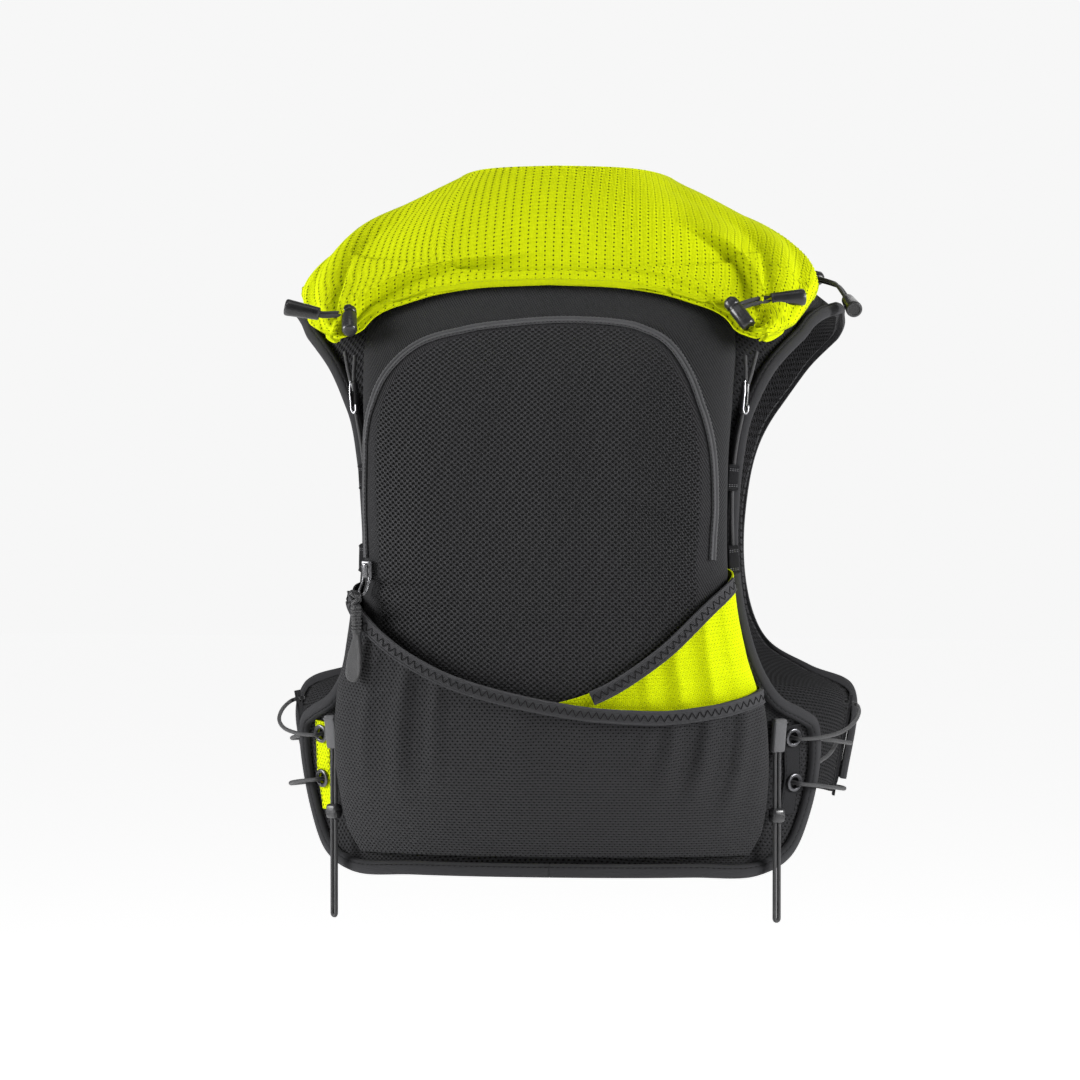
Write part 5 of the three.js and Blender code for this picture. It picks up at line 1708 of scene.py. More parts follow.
@dataclass
class Yoke:
    """The loose lime mesh over the shoulders, pulled down at two corners by the cords."""

    pack: Pack
    harness: Harness
    loft: float = 8.5
    hem_width: float = 4.5
    hem_half_height: float = 0.85
    hem_end: float = 0.985
    hem_stitch_pitch: float = 2.6
    # Columns: along, hem x, hem drop, top turn, top drop.
    edge: Rows = (
        (0.0, 0.0, 0.112, 0.0, -0.073), (0.2, 0.21, 0.116, 36.0, -0.07), (0.38, 0.39, 0.129, 72.0, -0.058),
        (0.5, 0.5, 0.146, 92.0, -0.03), (0.62, 0.6, 0.17, 98.0, -0.004), (0.7, 0.65, 0.196, 103.0, 0.016),
        (0.76, 0.69, 0.207, 105.0, 0.034), (0.83, 0.77, 0.187, 104.0, 0.057),
        (0.91, 0.85, 0.15, 100.0, 0.086), (1.0, 0.9, 0.122, 97.0, 0.11)
    )
    # Columns: place at the hem, place at the top, width, rise.
    folds: Rows = (
        (-0.74, -0.36, 0.055, 1.1), (-0.79, -0.66, 0.05, 0.9), (-0.9, -0.8, 0.04, 0.5),
        (0.74, 0.4, 0.055, 1.1), (0.79, 0.62, 0.05, 0.9), (0.92, 0.84, 0.04, 0.5)
    )
    # Laps, where the cloth doubles over itself: side, along at both ends, up at both ends, rise in
    # millimetres, how soon it settles again, and which way it rises.
    laps: Rows = (
        (-1, -0.02, 0.73, 0.25, 0.02, 8.5, 0.3, 1), (1, 0.3, 0.755, 0.5, 0.0, 9.0, 0.24, 1),
        (1, 0.5, 0.92, 0.85, 0.02, 6.0, 0.3, -1), (1, 0.1, 0.66, 0.15, 0.03, 3.0, 0.12, 1),
        (-1, 0.42, 0.82, 0.95, 0.06, 4.5, 0.25, -1)
    )
    # Finer creases between the folds, with the same columns, in millimetres.
    creases: Rows = (
        (-0.72, -0.2, 0.016, -1.6), (-0.76, -0.5, 0.012, -1.4), (-0.78, -0.6, 0.012, 0.9),
        (-0.84, -0.74, 0.012, -0.9), (0.72, 0.24, 0.016, -1.6), (0.76, 0.52, 0.012, -1.4),
        (0.78, 0.6, 0.012, 0.9), (0.86, 0.74, 0.012, -0.9), (-0.3, -0.2, 0.05, 0.9), (0.3, 0.22, 0.05, 0.9),
        (0.05, 0.02, 0.08, 0.6)
    )

    def spot(self, u: Array, v: Array) -> tuple[Array, Array]:
        """Gives the turn and height of a place on the yoke."""
        along = np.abs(u)
        hem_x, hem_drop, top_turn, top_drop = (column(self.edge, 0, k)(along) for k in (1, 2, 3, 4))
        hem_z = -hem_drop * BACK_DROP
        hem_turn = FORM.turn_at(hem_x * self.harness.shoulder_half, hem_z)
        turn = mix(hem_turn, np.radians(top_turn), v)
        return np.sign(u) * turn, mix(hem_z, -top_drop * BACK_DROP, v)

    def rise(self, u: Array, v: Array) -> Array:
        """Gives how far the cloth stands off what is below it."""
        total = np.sin(math.pi * mix(0.06, 1, v)) * (1 - smooth(np.abs(u), 0.84, 1))
        for hem, top, width, high in self.folds:
            total = total + high * bump(u, mix(hem, top, v), width * (1 + v)) * (1 - v**2)
        fine = np.zeros_like(u)
        for hem, top, width, high in self.creases:
            line = bump(u, mix(hem, top, v), width * (1 + 1.2 * v))
            fine += high * line * (1 - v) ** 0.7 * smooth(v, 0.0, 0.08)
        return self.loft * total + fine + self.lapped(u, v)

    def lapped(self, u: Array, v: Array) -> Array:
        """Gives the rise of the laps, steep on one side and easy on the other."""
        total = np.zeros_like(u)
        for side, near, far, v_near, v_far, high, settle, way in self.laps:
            t = (u * side - near) / (far - near)
            past = (v - mix(v_near, v_far, t)) * way
            ends = smooth(t, 0, 0.35) * (1 - smooth(t, 0.93, 1.06))
            total += high * ends * smooth(past, -0.012, 0.014) * np.exp(-np.maximum(past, 0) / settle)
        return total * (1 - smooth(v, 0.85, 1))

    def place(self, u: Array, v: Array) -> Array:
        """Places the outer face."""
        turn, z = self.spot(u, v)
        foot = FORM.spot(turn, z, 0)
        behind = np.abs(turn) < math.pi / 2
        spread = [
            np.where(behind, self.pack.height(foot[..., 0] + dx, z - 4), 0) for dx in (-8, -4, 0, 4, 8)
        ]
        under = np.max(spread, axis=0)
        low = PACK_FROM + under + np.where(spread[2] > 0, GAP, 0) + self.rise(u, v)
        return FORM.spot(turn, z, np.maximum(low, PACK_FROM + 0.2) + CLOTH_WALL)

    def build(self) -> None:
        """Builds the yoke with its turned hem and its stitches."""
        yoke = cloth("yoke_cloth", (280, 120), self.place, CLOTH_WALL)
        dress(yoke, LIME, ["shoulder_yoke"])
        declare_sheet(self.place)
        u = np.linspace(-self.hem_end, self.hem_end, 520)
        path = respaced(self.place(u, np.full_like(u, 0.028)), 1.2)
        near = self.place(u, np.full_like(u, 0.04))
        above = read_off(np.linspace(0, 1, len(path)), np.linspace(0, 1, len(u)), near) - path
        out = unit(np.cross(np.gradient(path, axis=0), above))
        roll = round_section(1.0, 18) * np.array([self.hem_width / 2, self.hem_half_height])
        hem = sweep("yoke_hem", path - out * 0.35, out, roll, 70)
        dress(hem, LIME_HEM)
        edge = sideways(path, out)
        inner = path + edge * 1.2 * np.sign(np.dot(edge[0], above[0])) + out * 0.45
        sew(
            "yoke_hem_stitches", stitch_row(inner, out, self.hem_stitch_pitch), 1.8, 0.2, LIME_THREAD,
        )


def hole_tools(spots: Sequence[tuple[Array, Array]], radius: float) -> list[Piece]:
    """Makes rods to cut round holes with.

    Args:
        spots: For each hole, a point under the cloth and one over it.
        radius: The holes' radius.

    Returns:
        The rods.
    """
    tools = []
    for low, high in spots:
        deselect()
        bpy.ops.mesh.primitive_cylinder_add(
            vertices=28, radius=radius * MM, depth=float(np.linalg.norm(high - low)) * MM
        )
        rod = bpy.context.object
        turn = Vector(high - low).to_track_quat("Z", "Y").to_matrix().to_4x4()
        rod.data.transform(Matrix.Translation(Vector((low + high) / 2) * MM) @ turn)
        tools.append(rod)
    return tools


def tape_section(width: float, low: float, high: float) -> Array:
    """Gives the outline of a flat tape with rounded edges."""
    w, r = width / 2, (high - low) * 0.35
    return np.array(
        [
            (-w + r, low), (w - r, low), (w, low + r), (w, high - r), (w - r, high), (w * 0.4, high + 0.05),
            (-w * 0.4, high + 0.05), (-w + r, high), (-w, high - r), (-w, low + r)
        ]
    )


def hairpin(points: Rows, outs: Rows, spread: float, step: float) -> tuple[Array, Array]:
    """Runs a cord out along points and back beside itself.

    Args:
        points: The route's points.
        outs: The direction off the surface at each point.
        spread: How far each strand lies from the route.
        step: The distance between one point of the result and the next.

    Returns:
        The cord's centreline, and the directions off the surface.
    """
    spine = smooth_path(points, 10)
    stations = np.linspace(0, len(points) - 1, len(spine))
    facing = unit(read_off(stations, range(len(outs)), np.asarray(outs)))
    along = unit(np.gradient(spine, axis=0))
    aside = sideways(spine, facing)
    bend = np.radians([22, 45, 67, 90, 113, 135, 158])[:, None]
    turned_back = spine[-1] + aside[-1] * spread * np.cos(bend) + along[-1] * spread * np.sin(bend)
    path = np.vstack([spine + aside * spread, turned_back, (spine - aside * spread)[::-1]])
    outward = np.vstack([facing, np.repeat(facing[-1:], len(bend), axis=0), facing[::-1]])
    length = run_of(path)
    even = respaced(path, step)
    return even, unit(read_off(np.linspace(0, length[-1], len(even)), length, outward))


def path_length(path: Array) -> float:
    """Measures a path, in metres."""
    return float(run_of(path)[-1]) * MM


@dataclass
class ZipPull:
    """The zipper's slider with its wire, and the soft pull that hangs from it."""

    seat: Seat = Seat((-101.04, -141.884, -204.443), (0.8698, -0.4921, -0.0228), (-0.0252, -0.0907, 0.9956))
    pull_at: tuple[float, float, float] = (-107.458, -149.59, -239.122)
    wire: Rows = ((-2.1, 1), (-2.1, -5), (-2.1, -12.5), (0, -14), (2.1, -12.5), (2.1, -5), (2.1, 1))
    # The soft tab from its neck down: length, half width, half thickness and how far it leans aside.
    tab: Rows = (
        (-1.0, 2.2, 1.9, 0.0), (-5.0, 2.7, 1.7, -0.3), (-9.0, 3.6, 1.5, -0.9), (-14.0, 4.7, 1.3, -1.9),
        (-20.0, 5.4, 1.2, -3.1), (-25.0, 5.5, 1.15, -4.2), (-28.0, 4.9, 1.05, -4.9),
        (-30.0, 3.3, 0.85, -5.3), (-30.8, 1.0, 0.4, -5.5)
    )

    def build_slider(self) -> None:
        """Builds the slider and its wire."""
        body = block("zipper_slider", (7, 11, 3.4), 1.3, (0, 0, 2.3))
        ridge = block("slider_ridge", (3.2, 8.5, 2.2), 0.9, (0, -0.3, 4.2))
        wire = smooth_path([(a, b, 3.4 + 0.6 * max(0, -b - 5)) for a, b in self.wire], 8)
        loop = tube("slider_wire", respaced(wire, 0.6), 0.85, 10)
        slider = put(join(body, ridge, loop), self.seat)
        dress(slider, DARK_STEEL, ["zip_slider"])

    def build_pull(self) -> None:
        """Builds the knot, the ribbed sleeve and the flat tab of the pull."""
        seat = Seat(self.pull_at, self.seat.side, self.seat.up)
        turn = np.linspace(0, 2 * math.pi, 60)
        knot_path = np.stack(
            [
                2.1 * np.cos(turn * 2), 18.5 + 3.4 * np.sin(turn),
                2.0 * np.sin(turn * 2) + 0.6 * np.sin(turn)
            ],
            axis=1
        )
        knot = tube("pull_knot", respaced(knot_path, 0.5), 1.35, 10)
        ribs = [(1.6, 15.0), (2.3, 14.6), (2.9, 13.8)]
        for k in range(8):
            foot = 13.4 - 1.9 * k
            ribs += [(3.15, foot), (3.15, foot - 0.9), (2.7, foot - 1.2), (2.7, foot - 1.6)]
        sleeve = turned("pull_sleeve", ribs + [(2.4, -2.6), (1.6, -3.0)], 28)
        rows = np.array(self.tab)
        down = np.linspace(rows[0, 0], rows[-1, 0], 44)
        wide, thick, lean = (np.interp(-down, -rows[:, 0], rows[:, k]) for k in (1, 2, 3))
        ring = np.linspace(0, 2 * math.pi, 24, endpoint=False)
        c, s = np.cos(ring), np.sin(ring)
        section = np.stack(
            [wide[:, None] * np.sign(c) * np.abs(c) ** 0.7, thick[:, None] * np.sign(s) * np.abs(s) ** 0.7],
            axis=-1
        )
        at = np.stack([lean, down, 0.15 * np.sin(down * 0.3)], axis=1)
        tab = sweep("pull_tab", at, np.repeat([[0.0, 0.0, 1.0]], len(at), axis=0), section, 60)
        pull = put(join(tab, knot, sleeve), seat)
        dress(pull, PULL, ["zip_pull"])

    def build(self) -> None:
        """Builds the slider and the pull."""
        self.build_slider()
        self.build_pull()


@dataclass
class Wings:
    """The patches and tapes at the wings, their eyelets and the elastic laces through them."""

    patch_x: float = 136.6
    patch_drops: tuple[float, float] = (297.0, 350.0)
    patch_width: float = 12.5
    patch_low: float = 3.5
    stitch_pitch: float = 2.8
    facing: float = 1.4
    tape_x: float = 126.6
    tape_width: float = 6.6
    eyelet_x: float = 136.5
    eyelet_drops: tuple[float, float] = (304.0, 331.0)
    eyelet_hole: float = 3.2
    eyelet_outer: float = 5.6
    eyelet_height: float = 1.6
    lace_turns: tuple[float, float] = (94.0, 98.0)
    lace_drops: tuple[float, float] = (285.0, 346.0)
    lace_holes: tuple[float, ...] = (290.1, 314.0, 340.7)
    eyelet_seats: tuple[Seat, Seat] = (
        Seat((-139.755, -75.115, -304.767), (0.7523, -0.6588, 0), (-0.1011, -0.1155, 0.9881)),
        Seat((-140.004, -69.516, -331.623), (0.7078, -0.7064, 0), (-0.0881, -0.0882, 0.9922))
    )
    # Turn in degrees round the form, drop and off the form's surface.
    lace: Rows = (
        (96, 290, -3), (96, 290.2, 3.4), (91, 292.5, 6.5), (78, 298, 9), (68, 301.6, 11), (60, 303.4, 11.4),
        (55.4, 303.9, 11), (52.9, 304, 9.6), (52.1, 304.1, 5), (52.2, 304.3, 0), (53.6, 304.6, -2.8),
        (62, 306.5, -3), (74, 309, 0.5), (88, 312, 4.6), (95, 313.4, 4.4), (96.2, 314, 0.6),
        (95.4, 314.6, -2.6), (92, 315.5, -3.4), (76, 320, -2.4), (64, 326, -3), (56.4, 330.2, -2.8),
        (55, 330.8, 0), (54.8, 331, 5), (55.6, 331.2, 9.6), (58.4, 331.7, 11), (62.5, 332.6, 11.4),
        (70, 334.6, 11), (81, 337.6, 8.5), (92, 340, 5.6), (96, 340.6, 2.6), (96, 340.8, -3)
    )

    def strip_route(self, side: int, x: float) -> tuple[Array, Array]:
        """Runs a route down a wing, with the directions off it."""
        t = np.linspace(0, 1, 40)
        z = -mix(*self.patch_drops, t)
        across = side * (x - 3 * smooth(t, 0.5, 1))
        out = off_surface(lambda a, b: FORM.on_back(a, b, 0), across, z)
        return FORM.on_back(across, z, 0), out

    def build_patch(self, side: int, label: str) -> list[Matrix]:
        """Builds a wing's patch with its two holes, and gives the seats of its stitches."""
        at, out = self.strip_route(side, self.patch_x)
        patch = sweep(
            f"eyelet_patch_{label}", at, out,
            tape_section(self.patch_width, self.patch_low, self.patch_low + CLOTH_WALL), 50
        )
        holes = [
            (FORM.on_back(side * self.eyelet_x, -drop, -3), FORM.on_back(side * self.eyelet_x, -drop, 9))
            for drop in self.eyelet_drops
        ]
        cut(patch, *hole_tools(holes, self.eyelet_hole + GAP))
        dress(patch, LIME_POCKET if side < 0 else WEBBING, [f"wing_patch_{label}"])
        lateral = sideways(at, out)
        seats = []
        for sign in (-1, 1):
            row = at + lateral * sign * (self.patch_width / 2 - 1.3) + out * (self.patch_low + 1.1)
            seats += stitch_row(row, out, self.stitch_pitch)
        return seats

    def build_eyelets(self, side: int, label: str) -> None:
        """Builds a wing's two metal eyelets."""
        middle = (self.eyelet_hole + self.eyelet_outer) / 2
        thick = (self.eyelet_outer - self.eyelet_hole) / 2
        for name, seat in zip(("upper", "lower"), self.eyelet_seats):
            deselect()
            bpy.ops.mesh.primitive_torus_add(
                major_radius=middle * MM, minor_radius=thick * MM, major_segments=56, minor_segments=18
            )
            ring = bpy.context.object
            ring.name = f"metal_eyelet_{name}_{label}"
            ring.data.transform(Matrix.Diagonal((1, 1, self.eyelet_height / 2 / thick, 1)))
            ring.data.transform(Matrix.Translation((0, 0, self.eyelet_height / 2 * MM)))
            soften(put(ring, seat.on(side)), 60)
            dress(ring, DARK_STEEL, [f"eyelet_{name}_{label}"])

    def build_lace(self, side: int, label: str) -> None:
        """Builds a front panel's tape with its holes, and the lace that runs through them."""

        def tape_place(u: Array, v: Array) -> Array:
            """Places points of the lace tape."""
            turn = np.radians(mix(*self.lace_turns, (u + 1) / 2))
            return FORM.spot(side * turn, -mix(self.lace_drops[1], self.lace_drops[0], v), self.facing)

        tape = cloth(f"lace_facing_{label}", (8, 60), tape_place, self.facing)
        middle_turn = side * math.radians(sum(self.lace_turns) / 2)
        holes = [
            (FORM.spot(middle_turn, -drop, -4), FORM.spot(middle_turn, -drop, 6))
            for drop in self.lace_holes
        ]
        cut(tape, *hole_tools(holes, CORD_RADIUS + 1.1))
        dress(tape, WEBBING, [f"lace_tape_{label}"])

        turn, drop, off = np.array(self.lace, float).T
        route = FORM.spot(side * np.radians(turn), -drop, off)
        path = respaced(smooth_path(route, 12), 1.0)
        lace = tube(f"elastic_lace_{label}", path, CORD_RADIUS, 12)
        dress(lace, CORD, [f"side_lace_{label}"])
        LOG.info("side lace %s: %.3f m", label, path_length(path))

    def build(self) -> None:
        """Builds both wings and the left one's tape."""
        seats = []
        for side, label in SIDES:
            seats += self.build_patch(side, label)
            self.build_eyelets(side, label)
            self.build_lace(side, label)
        at, out = self.strip_route(-1, self.tape_x)
        section = tape_section(self.tape_width, self.patch_low, self.patch_low + CLOTH_WALL)
        tape = sweep("wing_edge_tape", at, out, section, 50)
        dress(tape, WEBBING, ["wing_tape_left"])
        lateral = sideways(at, out)
        seats += stitch_row(at + lateral * 2.0 + out * (self.patch_low + 1.1), out, self.stitch_pitch)
        sew("wing_stitches", seats, 1.9, 0.22, DARK_THREAD)


@dataclass
class ChestStraps:
    """The two straps across the front, each with a plain clip."""

    harness: Harness
    drops: tuple[tuple[str, float], ...] = (("upper", 112.0), ("lower", 206.0))
    width: float = 18.0
    wall: float = 1.6
    reach: float = 68.0
    over: float = 8.5
    clip_length: float = 34.0
    clip_rim: float = 3.0
    clip_edge: float = 2.2
    seam_x: float = 3.0
    window_at: tuple[float, float] = (9.0, 7.4)
    grips: tuple[float, ...] = (6.0, 9.0, 12.0)
    groove: float = 1.6
    stitch_pitch: float = 2.2

    def route(self, drop: float) -> tuple[Array, Array]:
        """Runs a strap's route over the front bindings, with the directions off it."""
        z = -drop
        turn = math.pi + np.linspace(-1, 1, 90) * float(FORM.turn_at(self.reach, z))
        inner = math.radians(float(column(self.harness.front_edge, 0, 2)(drop / BACK_DROP)))
        edge_x = abs(float(FORM.spot(inner, z, 0)[0]))
        x = np.abs(FORM.spot(turn, z, 0)[:, 0])
        off = mix(self.over, PACK_FROM, smooth(x, edge_x + 9, edge_x + 20))
        at = FORM.spot(turn, z, off)
        return at, unit(FORM.spot(turn, z, off + 1) - at)

    def build_clip(self, name: str, drop: float) -> None:
        """Builds a clip in two locked halves round its strap."""
        slope = FORM.spot(math.pi, 5 - drop, 0)[1] - FORM.spot(math.pi, -5 - drop, 0)[1]
        tilt = math.atan2(float(slope), 10)
        seat = Seat(
            tuple(FORM.spot(math.pi, -drop, self.over)), (-1, 0, 0), (0, math.sin(tilt), math.cos(tilt))
        )
        rim = self.clip_rim
        height, depth = self.width + 2 * rim, self.wall + 2 * rim
        middle = self.wall / 2
        body = block("clip_body", (self.clip_length, height, depth), self.clip_edge, (0, 0, middle))
        tools = [
            block(
                "clip_slot", (self.clip_length + 4, self.width + 2 * GAP, self.wall + 2 * GAP), 0.3,
                (0, 0, middle)
            )
        ]
        front = middle + depth / 2
        tools.append(block("clip_seam", (0.7, height + 4, self.groove), 0.2, (self.seam_x, 0, front)))
        x, y = self.window_at
        tools += [
            block("clip_window", (11.0, 2.4, self.groove), 0.6, (x, side * y, front)) for side in (-1, 1)
        ]
        tools += [block("clip_grip", (1.1, 12.0, 1.2), 0.4, (-x, 0, front)) for x in self.grips]
        clip = put(cut(body, *tools), seat)
        clip.name = f"strap_clip_{name}"
        dress(clip, PLASTIC, [f"chest_clip_{name}"])

    def build(self) -> None:
        """Builds the straps and their clips."""
        seats = []
        for name, drop in self.drops:
            at, out = self.route(drop)
            strap = sweep(f"strap_{name}", at, out, tape_section(self.width, 0, self.wall), 50)
            dress(strap, WEBBING, [f"chest_strap_{name}"])
            lateral = sideways(at, out)
            for part in (slice(1, 9), slice(-9, -1)):
                for share in np.linspace(-0.8, 0.8, 9):
                    row = at[part] + lateral[part] * share * self.width / 2 + out[part] * (self.wall + 0.15)
                    seats += stitch_row(row, out[part], self.stitch_pitch)
            self.build_clip(name, drop)
        sew("strap_stitches", seats, 1.6, 0.22, GREY_THREAD)


@dataclass(frozen=True)
class Tail:
    """One cord tail: its name, the seats of its lock and end, and its cord's route."""

    label: str
    lock: Seat
    end: Seat
    points: Rows
    outs: Rows


@dataclass
class CordTails:
    """The barrel locks with their hairpins of cord and flared ends."""

    lock_radius: float = 4.4
    lock_length: float = 21.0
    cord_step: float = 0.6
    button: Rows = ((2.9, 10.2), (3.1, 10.6), (3.1, 10.9), (2.7, 11.3), (1.2, 11.5))
    barrel: Rows = (
        (0.5, -0.5), (0.78, -0.492), (0.92, -0.468), (1.0, -0.42), (1.0, 0.145), (0.975, 0.168),
        (0.9, 0.185), (0.9, 0.25), (0.975, 0.268), (1.0, 0.292), (1.0, 0.4), (0.96, 0.45), (0.84, 0.485),
        (0.55, 0.5)
    )
    flare: Rows = (
        (3.0, 0.1), (3.45, 0.0), (3.75, 0.5), (3.8, 1.3), (4.05, 5.0), (4.4, 11.0), (4.75, 16.5),
        (4.92, 18.4), (4.85, 19.6), (4.5, 20.25), (4.0, 20.5), (3.4, 20.45), (3.2, 20.0), (1.0, 20.0)
    )
    tails: tuple[Tail, ...] = (
        Tail(
            "corner_left",
            Seat((-115.994, -121.022, -60.384), (-0.9652, -0.2437, 0.0946), (-0.1247, 0.7474, 0.6526)),
            Seat((-133.568, -120.917, -56.739), (0.0818, 0.8211, 0.5649), (-0.9794, -0.0389, 0.1982)),
            (
                (-116.5, -117.9, -57.6), (-123.4, -119.6, -57.0), (-131.3, -120.8, -57.2),
                (-139.3, -121.1, -55.6)
            ),
            ((0.0637, -0.57, 0.8192),) * 4
        ),
        Tail(
            "corner_right",
            Seat((111.23, -118.208, -56.789), (0.7404, 0.5912, 0.3197), (-0.597, 0.36, 0.7169)),
            Seat((128.399, -106.236, -48.647), (0.2642, -0.5563, -0.7879), (0.9386, 0.3363, 0.0772)),
            (
                (108.7, -116.7, -53.8), (114.4, -112.1, -51.3), (122.6, -108.3, -49.1),
                (133.9, -104.3, -48.2)
            ),
            ((0.2992, -0.7294, 0.6152),) * 4
        ),
        Tail(
            "shoulder_right",
            Seat((140.668, 35.146, -33.176), (0.6159, -0.7677, -0.1767), (0.7666, 0.6358, -0.0902)),
            Seat((168.898, -29.515, -47.818), (-0.7365, -0.3837, 0.557), (0.249, -0.9195, -0.3042)),
            ((143.9, 37.8, -33.6), (156.8, 21.7, -37.3), (162.8, -6.9, -40.3), (170.4, -34.9, -49.6)),
            (
                (0.5758, 0.3091, 0.7569), (0.6064, 0.1425, 0.7823), (0.6296, -0.0176, 0.7767),
                (0.6497, -0.1722, 0.7405)
            )
        )
    )

    def bore(self, length: float, middle: Sequence[float], along_side: bool) -> Piece:
        """Makes the tool for a bore that two strands pass through."""
        wide, high = BORE
        size = (length, wide, high) if along_side else (wide, length, high)
        return block("bore", size, 1.3, middle)

    def build_tail(self, tail: Tail) -> None:
        """Builds one tail's lock, end and cord."""
        rows = [(r * self.lock_radius, y * self.lock_length) for r, y in self.barrel]
        lock = turned(f"barrel_{tail.label}", rows, 40)
        cut(lock, self.bore(16.2, (5.1, 0.2 * self.lock_length, 0), True))
        button = turned("button", self.button, 32)
        dress(put(join(lock, button), tail.lock), PLASTIC, [f"{tail.label}_lock"])
        end = turned(f"flared_end_{tail.label}", self.flare, 40)
        cut(end, self.bore(11.0, (0, 3.5, 0), False))
        dress(put(end, tail.end), PLASTIC, [f"{tail.label}_end"])
        path, out = hairpin(tail.points, tail.outs, STRAND_SPREAD, self.cord_step)
        cord = sweep(f"tail_cord_{tail.label}", path, out, round_section(CORD_RADIUS, 14), 70)
        dress(cord, CORD, [f"{tail.label}_cord"])

    def build(self) -> None:
        """Builds the three tails."""
        for tail in self.tails:
            self.build_tail(tail)


@dataclass
class SideCords:
    """The cords from the yoke's corners down the flanks, with their gate clips, keepers and anchors."""

    # Points of the right side cord: x, drop and off the form's surface.
    route: Rows = (
        (109.5, 84.0, 12.6), (110.4, 97.0, 11.6), (109.4, 112.0, 11.2), (106.0, 132.0, 11.0),
        (104.0, 150.0, 11.0), (103.4, 170.0, 11.0), (103.6, 186.0, 11.0), (104.0, 198.0, 11.0)
    )
    # The second strand at the corner, which meets the first one in the gate.
    second: Rows = ((115.5, 82.0, 12.6), (113.6, 92.0, 12.0), (111.6, 100.0, 11.6), (110.6, 106.0, 11.4))
    gate: Seat = Seat((-113.972, -114.642, -105.415), (0.9247, -0.3628, 0.1156), (-0.0854, 0.0983, 0.9915))
    keeper: Seat = Seat((-107.43, -117.88, -151.584), (0.9384, -0.339, 0.0672), (-0.0625, 0.0248, 0.9977))
    anchor: Seat = Seat(
        (-107.598, -115.517, -199.029), (0.9374, -0.3411, -0.0705), (0.0369, -0.1039, 0.9939)
    )
    gate_size: tuple[float, float, float] = (4.8, 19.0, 4.4)
    window_size: tuple[float, float, float] = (1.5, 9.0, 1.8)
    window_at: tuple[float, float, float] = (0.2, -1.0, 2.2)
    keeper_size: tuple[float, float, float] = (7.2, 15.5, 4.4)
    anchor_size: tuple[float, float, float] = (7.2, 17.0, 4.4)
    hook_radius: float = 0.62
    tack_inset: float = 3.2
    # The gate's hook as a J: side, up and out.
    hook: Rows = (
        (-1.2, 9.6, 1.2), (-1.1, 4.0, 2.6), (-1.1, -3.0, 2.7), (-0.9, -7.6, 2.7), (0.4, -9.2, 2.7),
        (1.8, -8.0, 2.7), (2.0, -4.6, 2.6)
    )

    def folded_tape(self, name: str, size: Sequence[float], seat: Seat, nodes: Sequence[str]) -> None:
        """Builds a short tape folded round the cord, with bar tacks at both ends."""
        width, height, depth = size
        tape = block(name, size, 1.5)
        lip = block("tape_lip", (width * 0.94, 1.2, depth + 0.5), 0.5, (0, height / 2 - 1.4, 0))
        foot = block("tape_foot", (width * 0.94, 1.2, depth + 0.5), 0.5, (0, 1.4 - height / 2, 0))
        dress(put(join(tape, lip, foot), seat), WEBBING, nodes)
        seats = []
        for up in (height / 2 - self.tack_inset, self.tack_inset - height / 2):
            for row in (-0.5, 0.5):
                path = np.array(
                    [seat.point(a, up + row, depth / 2 + 0.1) for a in np.linspace(-0.4, 0.4, 7) * width]
                )
                seats += stitch_row(path, np.repeat([seat.axes()[2]], 7, axis=0), 1.4)
        sew(f"{name}_stitches", seats, 1.1, 0.2, GREY_THREAD)

    def build_side(self, side: int, label: str) -> None:
        """Builds one side's cord and what is on it."""
        gate_seat = self.gate.on(side)
        strands = []
        for rows in (self.route, self.second):
            points = [FORM.on_back(side * x, -drop, off) for x, drop, off in rows]
            path = respaced(smooth_path(points, 12), 0.8)
            strands.append(tube(f"flank_cord_{label}", path, CORD_RADIUS, 12))
            LOG.info("side cord %s: %.3f m", label, path_length(path))
        dress(join(*strands), CORD, [f"side_cord_{label}"])
        gate = block(f"gate_clip_{label}", self.gate_size, 1.7)
        window = block("gate_window", self.window_size, 0.6, self.window_at)
        dress(put(cut(gate, window), gate_seat), PLASTIC, [f"side_gate_{label}"])
        hook = tube(f"gate_hook_{label}", respaced(smooth_path(self.hook, 10), 0.4), self.hook_radius, 10)
        dress(put(hook, gate_seat), STEEL)
        for name, size, seat in (
            ("keeper", self.keeper_size, self.keeper.on(side)),
            ("anchor", self.anchor_size, self.anchor.on(side))
        ):
            self.folded_tape(f"{name}_tape_{label}", size, seat, [f"cord_{name}_{label}"])

    def build(self) -> None:
        """Builds both sides."""
        for side, label in SIDES:
            self.build_side(side, label)


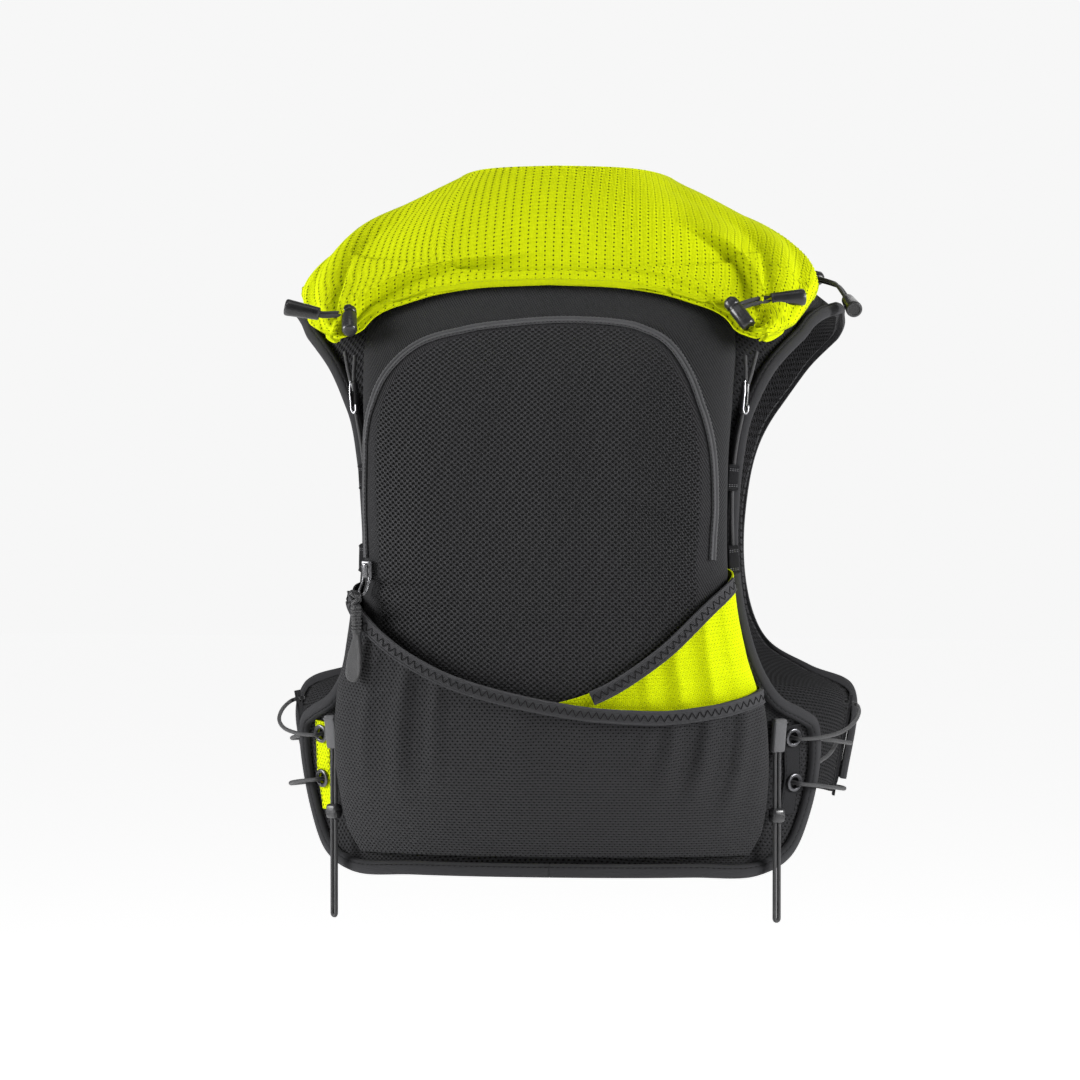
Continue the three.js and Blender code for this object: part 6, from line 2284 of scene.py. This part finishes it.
@dataclass
class LowerLoops:
    """The folded tabs at the wings, the loops of cord that hang from them and their beads."""

    tab: Seat = Seat((-130.631, -82.633, -302.725), (0.82, -0.5723, 0), (-0.083, -0.1189, 0.9894))
    bead: Seat = Seat((-130.995, -84.354, -350.0), (0.82, -0.5723, 0), (0, 0, 1))
    tab_size: tuple[float, float, float] = (BORE[0] + 2.4, 20.0, 4.6)
    tab_middle: tuple[float, float, float] = (0.0, 0.0, 2.4)
    bead_size: tuple[float, float, float] = (9.0, 9.0, 7.0)
    cord_step: float = 0.8
    points: Rows = (
        (-131.41, -83.75, -310.0), (-131.0, -83.15, -314.95), (-131.0, -84.35, -326.0),
        (-131.0, -84.35, -346.0), (-131.0, -84.35, -370.0), (-131.0, -84.35, -410.55)
    )
    outs: Rows = (
        (-0.5663, -0.8114, -0.1449), (-0.5663, -0.8114, -0.1449), (-0.5723, -0.82, 0), (-0.5723, -0.82, 0),
        (-0.5723, -0.82, 0), (-0.5723, -0.82, 0)
    )

    def build_side(self, side: int, label: str) -> None:
        """Builds one side's tab, loop and bead."""
        mirror = np.array([-side, 1, 1])
        tab = block(f"folded_tab_{label}", self.tab_size, 1.6, self.tab_middle)
        fold = block("tab_fold", (self.tab_size[0] * 0.96, 1.4, 5.2), 0.6, (0, 8.0, self.tab_middle[2]))
        cut(tab, block("tab_mouth", (BORE[0], 14.0, 3.2), 1.2, (0, -7.0, self.tab_middle[2])))
        dress(put(join(tab, fold), self.tab.on(side)), GREY_TAPE, [f"loop_tab_{label}"])
        points, outs = np.array(self.points) * mirror, np.array(self.outs) * mirror
        path, out = hairpin(points, outs, STRAND_SPREAD, self.cord_step)
        loop = sweep(f"hanging_loop_{label}", path, out, round_section(CORD_RADIUS, 14), 70)
        dress(loop, CORD, [f"lower_loop_{label}"])
        bead = block(f"flat_bead_{label}", self.bead_size, 2.4)
        cut(bead, block("bead_bore", (BORE[0], 14.0, BORE[1]), 1.3))
        cut(bead, block("bead_groove", (10.0, 0.8, 8.0), 0.3))
        rim = block("bead_core", (8.2, 2.0, 6.2), 0.6)
        cut(rim, block("bead_bore", (BORE[0], 14.0, BORE[1]), 1.3))
        dress(put(join(bead, rim), self.bead.on(side)), PLASTIC, [f"loop_bead_{label}"])

    def build(self) -> None:
        """Builds both sides."""
        for side, label in SIDES:
            self.build_side(side, label)


def main() -> None:
    """Builds every sub-assembly in order and reports each one."""
    logging.basicConfig(level=logging.INFO, format="%(message)s", stream=sys.stdout)
    harness = Harness()
    pack = Pack()
    parts = (
        Studio(), harness, pack, ZipPull(), Pockets(pack), Yoke(pack, harness), Wings(),
        ChestStraps(harness), CordTails(), SideCords(), LowerLoops()
    )
    for part in parts:
        part.build()
        LOG.info("built %s", type(part).__name__)


if __name__ == "__main__":
    main()
